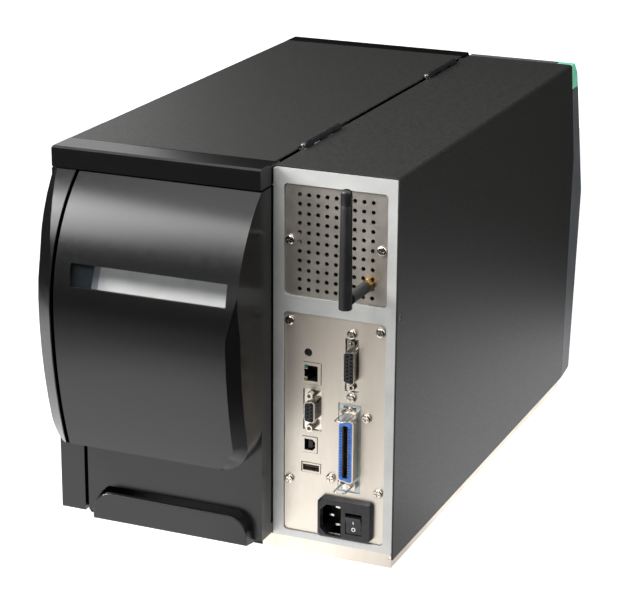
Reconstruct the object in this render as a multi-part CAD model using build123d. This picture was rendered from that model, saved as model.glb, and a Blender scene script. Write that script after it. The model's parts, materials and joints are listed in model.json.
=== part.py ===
"""Thermal transfer label printer with a hinged media cover, seen mainly from behind.

Millimetres, +Z up. The front with the label exit faces -Y and the connectors face +Y.
The media bay is on the +X side and the electronics bay on the -X side of a cast centre wall.
The printer stands on z = 0. All sizes below are laid out from the centre wall's frame and
the whole model is moved along Y at the end, so that the origin is under its middle.
"""
import os
from math import atan2, cos, degrees, radians, sin, sqrt

from build123d import *

os.makedirs("parts", exist_ok=True)

# Overall envelope
HALF_WIDTH = 131.6          # outer face of either side cover
REAR_Y = 205.0              # rear face of the cast frame
FRAME_TOP = 298.0           # top of the cast frame
FLOOR_TOP = 15.7            # upper face of the base pan
SHEET = 1.2                 # steel sheet of the covers
PAN_SHEET = 1.5             # steel sheet of the base pan
MOULD = 2.5                 # wall of the plastic covers
SEAT_GAP = 0.3              # gap between pieces that only lie near each other
RUN_GAP = 0.06              # radial clearance of a shaft in its bearing
SLIDE_GAP = 0.3             # clearance of a sliding piece

# Cast centre wall and rear frame
WALL_X0 = -40.8             # electronics side of the wall
WALL_X1 = -36.0             # media side of the wall
WALL_FRONT = -203.0
WALL_HEAD_GAP = 1.2         # room above the wall for the hinge leaf
FRAME_EDGE_X = -38.8        # edge of the rear frame that shows beside the wall
FRAME_DEPTH = 8.0           # depth of the rear frame along Y
OPENING_X0 = -123.3         # side edges of the two windows in the rear frame
OPENING_X1 = -44.3
VENT_Z0 = 204.0
VENT_Z1 = 286.6
PORT_Z0 = 20.8
PORT_Z1 = 191.5
OPENING_R = 3.0
PLATE_RECESS = 1.6          # how far the plates lie in front of the rear face
PLATE_SHEET = 1.5
PLATE_GAP = 0.4             # gap round each plate in its window
TAB_SIZE = 11.0             # screw tabs of the casting behind the plates
SCREW_R = 3.7               # pan heads on the rear plates
SCREW_RISE = 2.4

# Electronics cover and front profile, given as (y, z)
COVER_LOW = 11.3            # lower edge of the side sheet
COVER_TOP_FRONT = -205.3
COVER_TIP = (-223.0, 214.0)
COVER_LOW_FRONT = -214.3
COVER_BEND_R = 2.5
SEAM_X = -38.0              # edge of the cover's top sheet at the seam
COVER_SCREW_Z = 197.0
COVER_SCREW_REAR_Y = 199.0
COVER_SCREW_FRONT_Y = -215.0
COVER_SCREW_R = 2.6

BEZEL_GAP = 0.4
BEZEL_WALL = 3.0
BEZEL_TOP_Z = 299.0
BEZEL_CROWN = (-214.5, 299.0)
BEZEL_BROW = (-223.5, 289.5)
BEZEL_TIP = (-252.0, 177.0)
BEZEL_CHIN = (-236.5, 15.0)
BEZEL_HEEL = (-219.0, 11.8)
BEZEL_TIP_R = 12.0
ACCENT_X = -117.3           # inner end of the coloured corner
ACCENT_Z = 276.6            # lower end of the coloured corner
ACCENT_WALL = 1.6           # thickness of the coloured corner

# Base pan and feet
PAN_RIM_Z = 4.8             # lower edge of the pan's turned-down rims
PAN_REAR_END_X = -27.6      # where the rear rim ends under the media side
PAN_MEDIA_X = 128.8         # media side edge of the pan
PAN_FRONT_Y = -208.0
PAN_MEDIA_REAR_Y = 203.0    # rear edge of the pan under the media side
FOOT_LENGTH = 30.0
FOOT_WIDTH = 22.0
FOOT_R = 4.0
FOOT_TAPER = 2.0
FOOT_CENTRES = ((111.6, 186.0), (-16.3, 186.0), (-98.0, 178.0),
                (110.0, -184.0), (-16.3, -184.0), (-98.0, -184.0))

# Heights of the media cover's top, of the lower edge of its rear cap and of the cover below it
LID_TOP_Z = 300.2
CAP_CROWN_RISE = 0.3        # how far the caps' crowns stand above the sheet
CAP_HEIGHT = 15.8
REAR_CAP_GAP = 1.0
CAP_CROWN_Z = LID_TOP_Z + CAP_CROWN_RISE
CAP_LOW_Z = LID_TOP_Z - CAP_HEIGHT

# Rear cover of the media bay, with the bulge that clears the label roll
REAR_PANEL_Y = 225.2
REAR_LOW_Z = 17.0
REAR_TOP_Z = CAP_LOW_Z - REAR_CAP_GAP
FIXED_EDGE_X = 108.4        # where the fixed rear cover ends
DOOR_STRIP_X = 111.4        # where the strip on the media cover starts
BULGE_CREST_Z = 190.0
BULGE_CREST_Y = 269.3
BULGE_UPPER_R = 121.5
BULGE_LOWER_R = 342.6
BULGE_LOW_Z = 81.0          # lower edge of the bulge's rear face
BULGE_FOOT_Z = 71.0         # where its underside meets the flat panel
BULGE_CORNER_R = 20.0        # lower corners of the bulge, seen from behind
BULGE_ROOT_R = 36.0         # corner beside the wall where it meets the flat panel
STRIP_BEVEL_X = 19.4        # bevel of the media cover's corner strip, across
STRIP_BEVEL_Y = 18.5        # and along the printer
STRIP_BEVEL_TOP = 288.0     # where that bevel starts
STRIP_BEVEL_FULL = 222.0    # where it reaches its full size
FACET_TOP_Z = 217.0         # where the bevel on the bulge's edge starts
FACET_FULL_Z = 186.0        # where it reaches its full width
FACET_SIZE = 8.0
WINDOW_X0 = -27.6
WINDOW_X1 = 96.0
WINDOW_Z0 = 209.4
WINDOW_Z1 = 226.2
WINDOW_SHEET = 2.0
SLOT_X0 = -21.5             # fan-fold feed slot through the flat panel
SLOT_X1 = 95.0
SLOT_R = 6.0
LIP_X0 = -27.6              # open-topped lip that stands in front of the slot
LIP_X1 = 99.5
LIP_LOW_Z = 15.5
LIP_TOP_Z = 37.2
LIP_DEPTH = 9.5
LIP_DRAFT = 2.4             # how much wider its outline is where it leaves the panel
LIP_WALL = 2.5
LIP_R = 15.0

# Media cover
LID_SEAM_X = -35.2
LID_LOW_Z = 16.0
LID_METAL_REAR = 199.6
LID_METAL_FRONT = -195.6
CAP_REAR_Y = 225.0
CAP_LAP = 8.0               # lip of each cap under the sheet
FRONT_CAP_LOW_Z = 130.0
FRONT_STRIP_X = 112.0
SIDE_WINDOW = (-95.0, 120.0, 70.0, 215.0)   # y0, y1, z0, z1 in the side sheet
SIDE_WINDOW_R = 14.0
SIDE_PANE = 2.0
GRIP_LENGTH = 90.0
GRIP_Z = 30.0

# Hinges of the media cover
HINGE_X = -36.8
HINGE_Z = 301.0
HINGE_R = 2.3
HINGE_PIN_R = 1.2
HINGE_LENGTH = 64.0
HINGE_KNUCKLES = 5
HINGE_REAR_ENDS = (151.0, -106.0)
HINGE_LEAF = 15.0
HINGE_LEAF_SHEET = 1.2
HINGE_NECK = 1.2            # sheet that joins each knuckle to its leaf
HINGE_BALL_R = 2.3
HINGE_NOTCH = 0.8

# Label supply
ROLL_Y = 158.0
ROLL_Z = 175.0
ROLL_R = 99.0
CORE_R = 38.1
CORE_WALL = 3.0
ROLL_X0 = -29.7
ROLL_X1 = 81.3
ARM_END_X = 120.0
ARM_WIDTH = 52.0
ARM_HEIGHT = 18.0
ARM_FLANGE_R = 44.0
GUIDE_SHEET = 6.5
GUIDE_R = 96.0
GUIDE_HOLE_R = 17.0

# Print mechanism
PLATEN_Y = -192.0
PLATEN_Z = 110.0
PLATEN_R = 9.5
PLATEN_SHAFT_R = 4.0
PRINT_X0 = -30.0
PRINT_X1 = 82.0
WEB_GAP = 0.4               # gap for labels and ribbon between head and platen
BEARING_R = 8.0
SIDE_PLATE_X0 = 86.0
SIDE_PLATE_X1 = 92.0
BEAM_Y0 = -204.0
BEAM_Y1 = -150.0
BEAM_Z0 = 60.0
BEAM_Z1 = 84.0
HEAD_PIVOT_Y = -128.0
HEAD_PIVOT_Z = 140.0
HEAD_PIVOT_R = 4.0
HEAD_FRONT_Y = -203.0
HEAD_THICK = 6.0
LATCH_Y = -152.0
LATCH_Z = 156.0
LATCH_LENGTH = 52.0
LATCH_WIDTH = 12.0
TEAR_BAR_SHEET = 2.4
SPINDLE_R = 12.5
SPINDLE_END_X = 84.0
SUPPLY_SPINDLE = (-4.0, 222.0)
TAKEUP_SPINDLE = (-116.0, 236.0)
SPINDLE_FLANGE_R = 26.0
DAMPER_PIVOT = (48.0, 72.0)
DAMPER_BAR = (22.0, 48.0)
DAMPER_POST_R = 4.0
POST_R = 5.0
GUIDE_POSTS = ((-22.0, 44.0), (-96.0, 116.0))
RAIL_Y = -78.0
RAIL_Z = 88.0
RAIL_R = 4.0
RAIL_END_X = 104.0
EDGE_GUIDE_X = 84.0

# Drive
MOTOR_Y = -140.0
MOTOR_Z = 62.0
MOTOR_SIZE = 57.0
MOTOR_LENGTH = 54.0
MOTOR_FACE_X = -69.0
MOTOR_POST_R = 3.5
MOTOR_POST_PITCH = 43.0
MOTOR_SHAFT_R = 3.2
MOTOR_PULLEY_R = 10.0
PLATEN_PULLEY_R = 20.0
PULLEY_X0 = -56.0
PULLEY_WIDTH = 10.0
BELT_THICK = 1.6

# Ports on the connector plate, given as centre x and z
JACK = (-66.1, 146.3)
SERIAL = (-66.4, 118.2)
DEVICE_USB = (-64.8, 90.8)
HOST_USB = (-65.8, 72.8)
APPLICATOR = (-97.0, 156.8)
PARALLEL = (-95.7, 92.7)
MOUTH_RISE = 0.4            # how far the sockets' mouths stand out of the plate
RESET = (-63.0, 162.0)
RESET_R = 2.5
RESET_DEPTH = 1.2           # how far the button lies behind the plate's face
BOARD_X = -57.3             # media side face of the main board
OPTION_X = -88.0            # media side face of the option board
BOARD_SHEET = 1.6
BOARD_SETBACK = 12.0        # rear edge of the boards in front of the rear face
BOARD_POST_HEIGHTS = (71.0, 171.0)
SERIAL_SCREWS = 25.0        # standard spacing of the nine-way shell's screws
APPLICATOR_SCREWS = 33.3    # standard spacing of the fifteen-way shell's screws
PARALLEL_SCREWS = 59.5
JACK_SIZE = (14.0, 16.4)
SERIAL_SIZE = (13.8, 31.0)
DEVICE_USB_SIZE = (11.4, 12.2)
HOST_USB_SIZE = (15.0, 7.4)
APPLICATOR_SIZE = (9.8, 39.6)
PARALLEL_SIZE = (16.8, 68.0)

# Mains inlet with its rocker
INLET_X0 = -115.6
INLET_X1 = -72.2
INLET_Z0 = 21.0
INLET_Z1 = 53.4
INLET_DEPTH = 4.2
INLET_BODY = 30.0
SOCKET_X0 = -91.4
SOCKET_X1 = -74.9
SOCKET_Z0 = 23.4
SOCKET_Z1 = 47.6
SOCKET_CUT = 5.0
ROCKER_X0 = -107.4
ROCKER_X1 = -95.2
ROCKER_Z0 = 27.2
ROCKER_Z1 = 43.2
ROCKER_TILT = 9.0
ROCKER_PIN = 1.0            # how far the rocker's pivot pins stand out at its ends
ROCKER_PIN_R = 1.2

# Antenna
ANT_X = -109.5
ANT_Z = 219.7
ANT_NUT = 8.0
ANT_ARM_R = 4.2
ANT_WHIP_Y = 248.0
ANT_TOP_Z = 300.0
ANT_LOW_Z = 214.4
ANT_TOP_R = 4.0
ANT_LOW_R = 4.8
ANT_CAP = 11.0              # length of the whip's separate cap
ANT_TONGUE = 3.8            # width of the tongue that the whip's fork straddles
ANT_KNUCKLE_R = 3.6
ANT_PIN_R = 1.5
ANT_HEX_R = 4.6             # gold coupling nut of the swivel arm, across its corners, halved
ANT_HEX_LENGTH = 6.0

# Control panel on the upper slope of the front bezel
PANEL_WIDTH = 68.0
PANEL_HEIGHT = 84.0
PANEL_R = 6.0
PANEL_DEPTH = 1.6
KEY_R = 6.5
KEY_RISE = 1.2
KEY_PITCH = 19.0
SCREEN_SIZE = (52.0, 28.0)
SCREEN_UP = 20.0            # screen's centre above the panel's centre
SCREEN_DEPTH = 4.0
KEYS_DOWN = -24.0           # keys' row below the panel's centre

SHIFT_Y = -(BEZEL_TIP[0] + BULGE_CREST_Y) / 2


def block(x0, x1, y0, y1, z0, z1):
    """Rectangular block between two corners."""
    centre = ((x0 + x1) / 2, (y0 + y1) / 2, (z0 + z1) / 2)
    return Pos(*centre) * Box(abs(x1 - x0), abs(y1 - y0), abs(z1 - z0))


def rod_x(x0, x1, y, z, radius):
    return Pos((x0 + x1) / 2, y, z) * Rot(0, 90, 0) * Cylinder(radius, abs(x1 - x0))


def rod_y(y0, y1, x, z, radius):
    return Pos(x, (y0 + y1) / 2, z) * Rot(90, 0, 0) * Cylinder(radius, abs(y1 - y0))


def slab_x(points, x0, x1):
    """Outline of (y, z) points, thick along X."""
    outline = Polyline(*[(x0, y, z) for y, z in points], close=True)
    return extrude(make_face(outline), amount=x1 - x0, dir=(1, 0, 0))


def slab_y(points, y0, y1):
    """Outline of (x, z) points, thick along Y."""
    outline = Polyline(*[(x, y0, z) for x, z in points], close=True)
    return extrude(make_face(outline), amount=y1 - y0, dir=(0, 1, 0))


def plate_y(x0, x1, z0, z1, y0, y1, radius):
    """Rounded rectangle in X and Z, thick along Y."""
    plane = Plane(origin=((x0 + x1) / 2, y0, (z0 + z1) / 2), x_dir=(1, 0, 0), z_dir=(0, -1, 0))
    return extrude(plane * RectangleRounded(x1 - x0, z1 - z0, radius), amount=y1 - y0, dir=(0, 1, 0))


def plate_x(y0, y1, z0, z1, x0, x1, radius):
    """Rounded rectangle in Y and Z, thick along X."""
    plane = Plane(origin=(x0, (y0 + y1) / 2, (z0 + z1) / 2), x_dir=(0, 1, 0), z_dir=(1, 0, 0))
    return extrude(plane * RectangleRounded(y1 - y0, z1 - z0, radius), amount=x1 - x0, dir=(1, 0, 0))


def save(name, shape):
    """Write one sub-part, moved so that the origin is under the printer's middle."""
    solids = (Pos(0, SHIFT_Y, 0) * shape).solids()
    result = solids[0] if len(solids) == 1 else Compound(children=list(solids))
    result.label = name
    export_step(result, f"parts/{name}.step")


def cover_edge():
    """Front edge of the electronics cover as (y, z) points from the top down."""
    return [(COVER_TOP_FRONT, BEZEL_TOP_Z + SHEET), COVER_TIP, (COVER_LOW_FRONT, COVER_LOW)]


def front_y(z):
    """Front face of the printer at a height, on either side of its foremost edge."""
    upper, lower = BEZEL_BROW, BEZEL_CHIN
    end = upper if z > BEZEL_TIP[1] else lower
    share = (z - BEZEL_TIP[1]) / (end[1] - BEZEL_TIP[1])
    return BEZEL_TIP[0] + share * (end[0] - BEZEL_TIP[0])


def bulge_y(z, inset=0.0):
    """Rear face of the bulge at a height: two arcs that meet upright at the crest."""
    radius = (BULGE_UPPER_R if z > BULGE_CREST_Z else BULGE_LOWER_R) - inset
    centre = BULGE_CREST_Y - inset - radius
    return centre + sqrt(max(radius ** 2 - (z - BULGE_CREST_Z) ** 2, 0.0))


# Base

def base_pan():
    """Inverted steel tray: a floor with rims turned down, bent up at the media side's rear."""
    side_x = -HALF_WIDTH + SHEET
    floor_z = FLOOR_TOP - PAN_SHEET
    outer = block(side_x, PAN_MEDIA_X, PAN_FRONT_Y, REAR_Y, PAN_RIM_Z, FLOOR_TOP)
    outer = fillet(outer.edges().filter_by(Axis.Y).group_by(Axis.Z)[-1], PAN_SHEET)
    inner = block(side_x + PAN_SHEET, PAN_MEDIA_X - PAN_SHEET, PAN_FRONT_Y + PAN_SHEET,
                  REAR_Y - PAN_SHEET, PAN_RIM_Z - 1, floor_z)
    pan = outer - inner
    pan -= block(PAN_REAR_END_X, PAN_MEDIA_X + 1, PAN_MEDIA_REAR_Y, REAR_Y + 1, 0, FLOOR_TOP + 1)
    relief = rod_y(REAR_Y - 2 * PAN_SHEET, REAR_Y + 1, side_x + PAN_SHEET, FLOOR_TOP - 3.2, 1.1)
    pan -= relief
    rear_tab = block(PAN_REAR_END_X, FIXED_EDGE_X - 4, PAN_MEDIA_REAR_Y - PAN_SHEET,
                     PAN_MEDIA_REAR_Y, floor_z, FLOOR_TOP + 6)
    return pan + rear_tab


def rubber_feet():
    """Rounded rubber blocks that taper towards the ground."""
    feet = Part()
    height = FLOOR_TOP - PAN_SHEET
    for x, y in FOOT_CENTRES:
        low = Plane.XY * RectangleRounded(FOOT_LENGTH - FOOT_TAPER, FOOT_WIDTH - FOOT_TAPER, FOOT_R)
        high = Plane.XY.offset(height) * RectangleRounded(FOOT_LENGTH, FOOT_WIDTH, FOOT_R)
        feet += Pos(x, y, 0) * loft([low.face(), high.face()])
    return feet


# Cast frame

def screw_spots():
    """Centres of the screws that hold the vent plate and the connector plate."""
    inset = 4.4
    vent_z = (VENT_Z0 + VENT_Z1) / 2
    left, right = OPENING_X0 + inset, OPENING_X1 - inset
    return [(left, vent_z), (right, vent_z), (left, 184.9), (right, 184.9), (left, 61.5), (right, 61.5)]


def centre_frame():
    """Aluminium casting: the wall between the bays and the rear frame round two windows."""
    wall_top = FRAME_TOP - WALL_HEAD_GAP
    wall = block(WALL_X0, WALL_X1, WALL_FRONT, REAR_Y, FLOOR_TOP, wall_top)
    rear = block(-HALF_WIDTH + SHEET, FRAME_EDGE_X, REAR_Y - FRAME_DEPTH, REAR_Y, FLOOR_TOP, FRAME_TOP)
    for z0, z1 in ((VENT_Z0, VENT_Z1), (PORT_Z0, PORT_Z1)):
        rear -= plate_y(OPENING_X0, OPENING_X1, z0, z1, REAR_Y - FRAME_DEPTH - 1, REAR_Y + 1, OPENING_R)
    tab_face = REAR_Y - PLATE_RECESS - PLATE_SHEET
    for x, z in screw_spots():
        side = OPENING_X0 if x < (OPENING_X0 + OPENING_X1) / 2 else OPENING_X1
        reach = side + TAB_SIZE if x < (OPENING_X0 + OPENING_X1) / 2 else side - TAB_SIZE
        rear += block(side, reach, REAR_Y - FRAME_DEPTH, tab_face, z - TAB_SIZE / 2, z + TAB_SIZE / 2)
    foot = block(WALL_X1, WALL_X1 + 14, WALL_FRONT, REAR_Y - 12, FLOOR_TOP, FLOOR_TOP + 4)
    casting = wall + rear + foot
    for z in (95.0, 190.0, 275.0):
        casting += block(WALL_X0 - 4, WALL_X0, WALL_FRONT + 12, REAR_Y - FRAME_DEPTH, z - 2, z + 2)
    for y, z in motor_corners():
        casting += rod_x(MOTOR_FACE_X, WALL_X0, y, z, MOTOR_POST_R)
    casting -= rod_x(WALL_X0 - 6, WALL_X1 + 1, PLATEN_Y, PLATEN_Z, BEARING_R)
    for y, z in (SUPPLY_SPINDLE, TAKEUP_SPINDLE):
        casting -= rod_x(WALL_X0 - 6, WALL_X1 + 1, y, z, BEARING_R)
    return casting


def motor_corners():
    """Centres of the four cast posts that the motor is screwed to."""
    half = MOTOR_POST_PITCH / 2
    return [(MOTOR_Y + i * half, MOTOR_Z + j * half) for i in (-1, 1) for j in (-1, 1)]


def hinge_notch(y):
    """Space that a hinge barrel takes out of the sheets beside it."""
    reach = HINGE_R + HINGE_NOTCH
    return block(HINGE_X - reach, HINGE_X + reach, y - HINGE_LENGTH - HINGE_NOTCH, y + HINGE_NOTCH + 5,
                 HINGE_Z - reach, HINGE_Z + reach)


def vent_plate():
    """Perforated steel plate with eleven rows of nine holes."""
    face = REAR_Y - PLATE_RECESS
    plate = plate_y(OPENING_X0 + PLATE_GAP, OPENING_X1 - PLATE_GAP, VENT_Z0 + PLATE_GAP, VENT_Z1 - PLATE_GAP,
                    face - PLATE_SHEET, face, OPENING_R)
    columns, rows, pitch, hole_r = 9, 11, 6.98, 1.55
    middle_x = (OPENING_X0 + OPENING_X1) / 2
    middle_z = (VENT_Z0 + VENT_Z1) / 2 - 1.0
    centres = [(middle_x + (i - (columns - 1) / 2) * pitch, middle_z + (j - (rows - 1) / 2) * pitch)
               for i in range(columns) for j in range(rows)]
    plane = Plane(origin=(0, face + 1, 0), x_dir=(1, 0, 0), z_dir=(0, -1, 0))
    circles = plane * (Sketch() + [Pos(x, z) * Circle(hole_r) for x, z in centres])
    plate -= extrude(circles, amount=PLATE_SHEET + 2, dir=(0, -1, 0))
    return plate - rod_y(face - 9, face + 9, ANT_X, ANT_Z, 3.3)


def port_cut(centre, size, clearance=SEAT_GAP):
    """Window in the connector plate round a port."""
    x, z = centre
    half_x, half_z = size[0] / 2 + clearance, size[1] / 2 + clearance
    return block(x - half_x, x + half_x, REAR_Y - 20, REAR_Y + 20, z - half_z, z + half_z)


def connector_plate():
    """Nickel plated steel plate with a window for each port."""
    face = REAR_Y - PLATE_RECESS
    plate = plate_y(OPENING_X0 + PLATE_GAP, OPENING_X1 - PLATE_GAP, PORT_Z0 + PLATE_GAP, PORT_Z1 - PLATE_GAP,
                    face - PLATE_SHEET, face, OPENING_R)
    for centre, size in ((JACK, JACK_SIZE), (SERIAL, SERIAL_SIZE), (DEVICE_USB, DEVICE_USB_SIZE),
                         (HOST_USB, HOST_USB_SIZE), (APPLICATOR, APPLICATOR_SIZE), (PARALLEL, PARALLEL_SIZE)):
        plate -= port_cut(centre, size)
    plate -= rod_y(REAR_Y - 20, REAR_Y + 20, RESET[0], RESET[1], 3.0)
    body = 2.4
    plate -= block(INLET_X0 + body, INLET_X1 - body, REAR_Y - 20, REAR_Y + 20,
                   INLET_Z0 + body, INLET_Z1 - body)
    return plate


def case_screws():
    """Pan head screws of the rear plates and brackets, and the flush screws of the side sheet."""
    face = REAR_Y - PLATE_RECESS
    spots = screw_spots()
    spots += [(APPLICATOR[0], APPLICATOR[1] + 23.8), (APPLICATOR[0], APPLICATOR[1] - 24.6)]
    spots += [(PARALLEL[0] - 13.2, PARALLEL[1] + 25.6), (PARALLEL[0] + 14.0, PARALLEL[1] - 25.4)]
    slot = 1.1
    group = Part()
    for x, z in spots:
        head = rod_y(face, face + SCREW_RISE, x, z, SCREW_R)
        head = fillet(head.edges().group_by(Axis.Y)[-1], SCREW_RISE - 0.9)
        top = face + SCREW_RISE
        cross = block(x - 2.2, x + 2.2, top - 1.0, top + 1, z - slot / 2, z + slot / 2)
        cross += block(x - slot / 2, x + slot / 2, top - 1.0, top + 1, z - 2.2, z + 2.2)
        group += head - cross
    for y in (COVER_SCREW_REAR_Y, COVER_SCREW_FRONT_Y):
        head = rod_x(-HALF_WIDTH + 0.2, -HALF_WIDTH + SHEET, y, COVER_SCREW_Z, COVER_SCREW_R)
        group += head - rod_x(-HALF_WIDTH - 1, -HALF_WIDTH + 0.8, y, COVER_SCREW_Z, 1.1)
    return group


# Electronics cover and front bezel

def electronics_cover():
    """Folded sheet over the electronics bay, cut at the front to a shallow V."""
    top_z = FRAME_TOP + SHEET
    front = BEZEL_TIP[0]
    outer = block(-HALF_WIDTH, SEAM_X, front, REAR_Y, COVER_LOW, top_z)
    corner = outer.edges().filter_by(Axis.Y).group_by(Axis.Z)[-1].sort_by(Axis.X)[0]
    outer = fillet(corner, COVER_BEND_R)
    inner = block(-HALF_WIDTH + SHEET, SEAM_X + 1, front - 1, REAR_Y + 1, COVER_LOW - 1, FRAME_TOP)
    sheet = outer - inner
    cut = [(front - 1, top_z + 1)] + cover_edge()
    cut += [(COVER_LOW_FRONT, COVER_LOW - 1), (front - 1, COVER_LOW - 1)]
    sheet -= slab_x(cut, -HALF_WIDTH - 1, SEAM_X + 1)
    for y in (COVER_SCREW_REAR_Y, COVER_SCREW_FRONT_Y):
        sheet -= rod_x(-HALF_WIDTH - 1, -HALF_WIDTH + 2 * SHEET, y, COVER_SCREW_Z, COVER_SCREW_R + SEAT_GAP)
    for y in HINGE_REAR_ENDS:
        sheet -= hinge_notch(y)
    return sheet


def bezel_outline():
    """Side profile of the front bezel behind its skin, as (y, z) points."""
    edge = [(y - BEZEL_GAP, z) for y, z in cover_edge()]
    crown = [(edge[0][0], BEZEL_TOP_Z), BEZEL_CROWN, BEZEL_BROW, BEZEL_TIP, BEZEL_CHIN, BEZEL_HEEL]
    return crown + [(edge[2][0], BEZEL_HEEL[1]), edge[1]]


def inner_bezel_outline():
    """Inside of the bezel: the same profile drawn in by the wall and open to the rear."""
    wall = BEZEL_WALL
    front = [(BEZEL_CROWN[0], BEZEL_TOP_Z - wall), (BEZEL_BROW[0] + wall, BEZEL_BROW[1] - 1),
             (BEZEL_TIP[0] + wall, BEZEL_TIP[1]), (BEZEL_CHIN[0] + wall, BEZEL_CHIN[1] + wall)]
    inner_y = COVER_TOP_FRONT + 20
    return [(inner_y, BEZEL_TOP_Z - wall)] + front + [(inner_y, BEZEL_CHIN[1] + wall)]


def whole_bezel():
    """Bezel shell before its coloured corner is split off."""
    outer = slab_x(bezel_outline(), -HALF_WIDTH, SEAM_X)
    tip = outer.edges().filter_by(Axis.X).group_by(Axis.Y)[0]
    outer = fillet(tip, BEZEL_TIP_R)
    inner = slab_x(inner_bezel_outline(), -HALF_WIDTH + BEZEL_WALL, SEAM_X - BEZEL_WALL)
    return outer - inner


def accent_zone(grow=0.0):
    """Corner region that the coloured trim covers, down to its own thickness."""
    outer = block(-HALF_WIDTH - 5, ACCENT_X + grow, BEZEL_TIP[0] - 48, COVER_TOP_FRONT + 5,
                  ACCENT_Z - grow, BEZEL_TOP_Z + 21)
    inner = slab_x([(COVER_TOP_FRONT + 6, BEZEL_TOP_Z - ACCENT_WALL),
                    (BEZEL_CROWN[0] + 0.6, BEZEL_TOP_Z - ACCENT_WALL),
                    (BEZEL_BROW[0] + ACCENT_WALL, BEZEL_BROW[1] - 0.6),
                    (front_y(ACCENT_Z - 2) + ACCENT_WALL, ACCENT_Z - 2),
                    (COVER_TOP_FRONT + 6, ACCENT_Z - 2)], -HALF_WIDTH + ACCENT_WALL, ACCENT_X + 5)
    return outer - inner


def accent_corner():
    """Coloured trim that wraps the top corner of the bezel."""
    return whole_bezel() & accent_zone()


def panel_plane():
    """Plane of the bezel's upper slope, with local x across and local y up the slope."""
    rise = BEZEL_BROW[1] - BEZEL_TIP[1]
    run = BEZEL_BROW[0] - BEZEL_TIP[0]
    share = 0.5
    middle_x = (-HALF_WIDTH + SEAM_X) / 2
    origin = (middle_x, BEZEL_TIP[0] + share * run, BEZEL_TIP[1] + share * rise)
    return Plane(origin=origin, x_dir=(1, 0, 0), z_dir=(0, -rise, run))


def front_bezel():
    """Grey moulded front of the electronics bay with a recess for the control panel."""
    bezel = whole_bezel() - accent_zone()
    gaps = 2 * SEAT_GAP
    recess = panel_plane() * RectangleRounded(PANEL_WIDTH + gaps, PANEL_HEIGHT + gaps, PANEL_R)
    bezel -= extrude(recess, amount=-PANEL_DEPTH)
    opening = panel_plane() * RectangleRounded(PANEL_WIDTH - 8, PANEL_HEIGHT - 8, PANEL_R)
    bezel -= extrude(opening, amount=-2 * BEZEL_WALL)
    tongue_x = -HALF_WIDTH + SHEET
    tongue = [(COVER_SCREW_FRONT_Y + 7, COVER_SCREW_Z + 14), (COVER_TIP[0] - 6, COVER_SCREW_Z + 14),
              (COVER_TIP[0] - 6, COVER_SCREW_Z - 14), (COVER_SCREW_FRONT_Y + 7, COVER_SCREW_Z - 14)]
    bezel += slab_x(tongue, tongue_x, tongue_x + 2.4)
    return bezel


def control_panel():
    """Flat insert that carries the screen and the keys."""
    panel = panel_plane() * RectangleRounded(PANEL_WIDTH, PANEL_HEIGHT, PANEL_R)
    body = extrude(panel, amount=-PANEL_DEPTH)
    pocket = panel_plane() * (Pos(0, SCREEN_UP) * RectangleRounded(SCREEN_SIZE[0], SCREEN_SIZE[1], 2))
    body -= extrude(pocket, amount=-PANEL_DEPTH)
    for x in key_columns():
        body -= extrude(panel_plane() * (Pos(x, KEYS_DOWN) * Circle(KEY_R + SLIDE_GAP)), amount=-PANEL_DEPTH)
    return body


def key_columns():
    return [-KEY_PITCH, 0.0, KEY_PITCH]


def display_module():
    """Screen, flush with the panel's face, and the circuit board that carries it and the key switches."""
    spot = Pos(0, SCREEN_UP)
    size_x, size_y = SCREEN_SIZE
    glass = panel_plane() * (spot * RectangleRounded(size_x - SLIDE_GAP, size_y - SLIDE_GAP, 2))
    frame = panel_plane().offset(-PANEL_DEPTH) * (spot * Rectangle(size_x + 4, size_y + 4))
    screen = extrude(glass, amount=-PANEL_DEPTH) + extrude(frame, amount=-SCREEN_DEPTH)
    plane = panel_plane().offset(-PANEL_DEPTH - SCREEN_DEPTH)
    pcb = extrude(plane * Rectangle(PANEL_WIDTH - 14, PANEL_HEIGHT - 14), amount=-BOARD_SHEET)
    for x in key_columns():
        pcb += extrude(plane * (Pos(x, KEYS_DOWN) * Circle(2.6)), amount=2.2)
    for x in (-1, 1):
        for y in (-1, 1):
            post = Pos(x * (PANEL_WIDTH / 2 - 9.5), y * (PANEL_HEIGHT / 2 - 10))
            pcb += extrude(plane * (post * Circle(2.5)), amount=SCREEN_DEPTH)
    return Compound(children=[screen, pcb])


def panel_key(x):
    """Round key with a dished top that travels into the panel."""
    plane = panel_plane()
    seat = plane.offset(-PANEL_DEPTH + 0.1)
    cap = extrude(seat * (Pos(x, KEYS_DOWN) * Circle(KEY_R)), amount=PANEL_DEPTH + KEY_RISE)
    cap = fillet(cap.edges().filter_by(GeomType.CIRCLE).sort_by(Axis.Y)[0], 0.8)
    return cap


# Ports

def dee(length, width, radius, slant=10.0):
    """Outline of a D shell, long along local y, its narrow side at local -x."""
    lean = width * sin(radians(slant)) / cos(radians(slant))
    points = [(width / 2, length / 2), (-width / 2, length / 2 - lean),
              (-width / 2, -length / 2 + lean), (width / 2, -length / 2)]
    return fillet(make_face(Polyline(*points, close=True)).vertices(), radius)


def port_plane(centre, y):
    return Plane(origin=(centre[0], y, centre[1]), x_dir=(-1, 0, 0), z_dir=(0, 1, 0))


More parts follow.
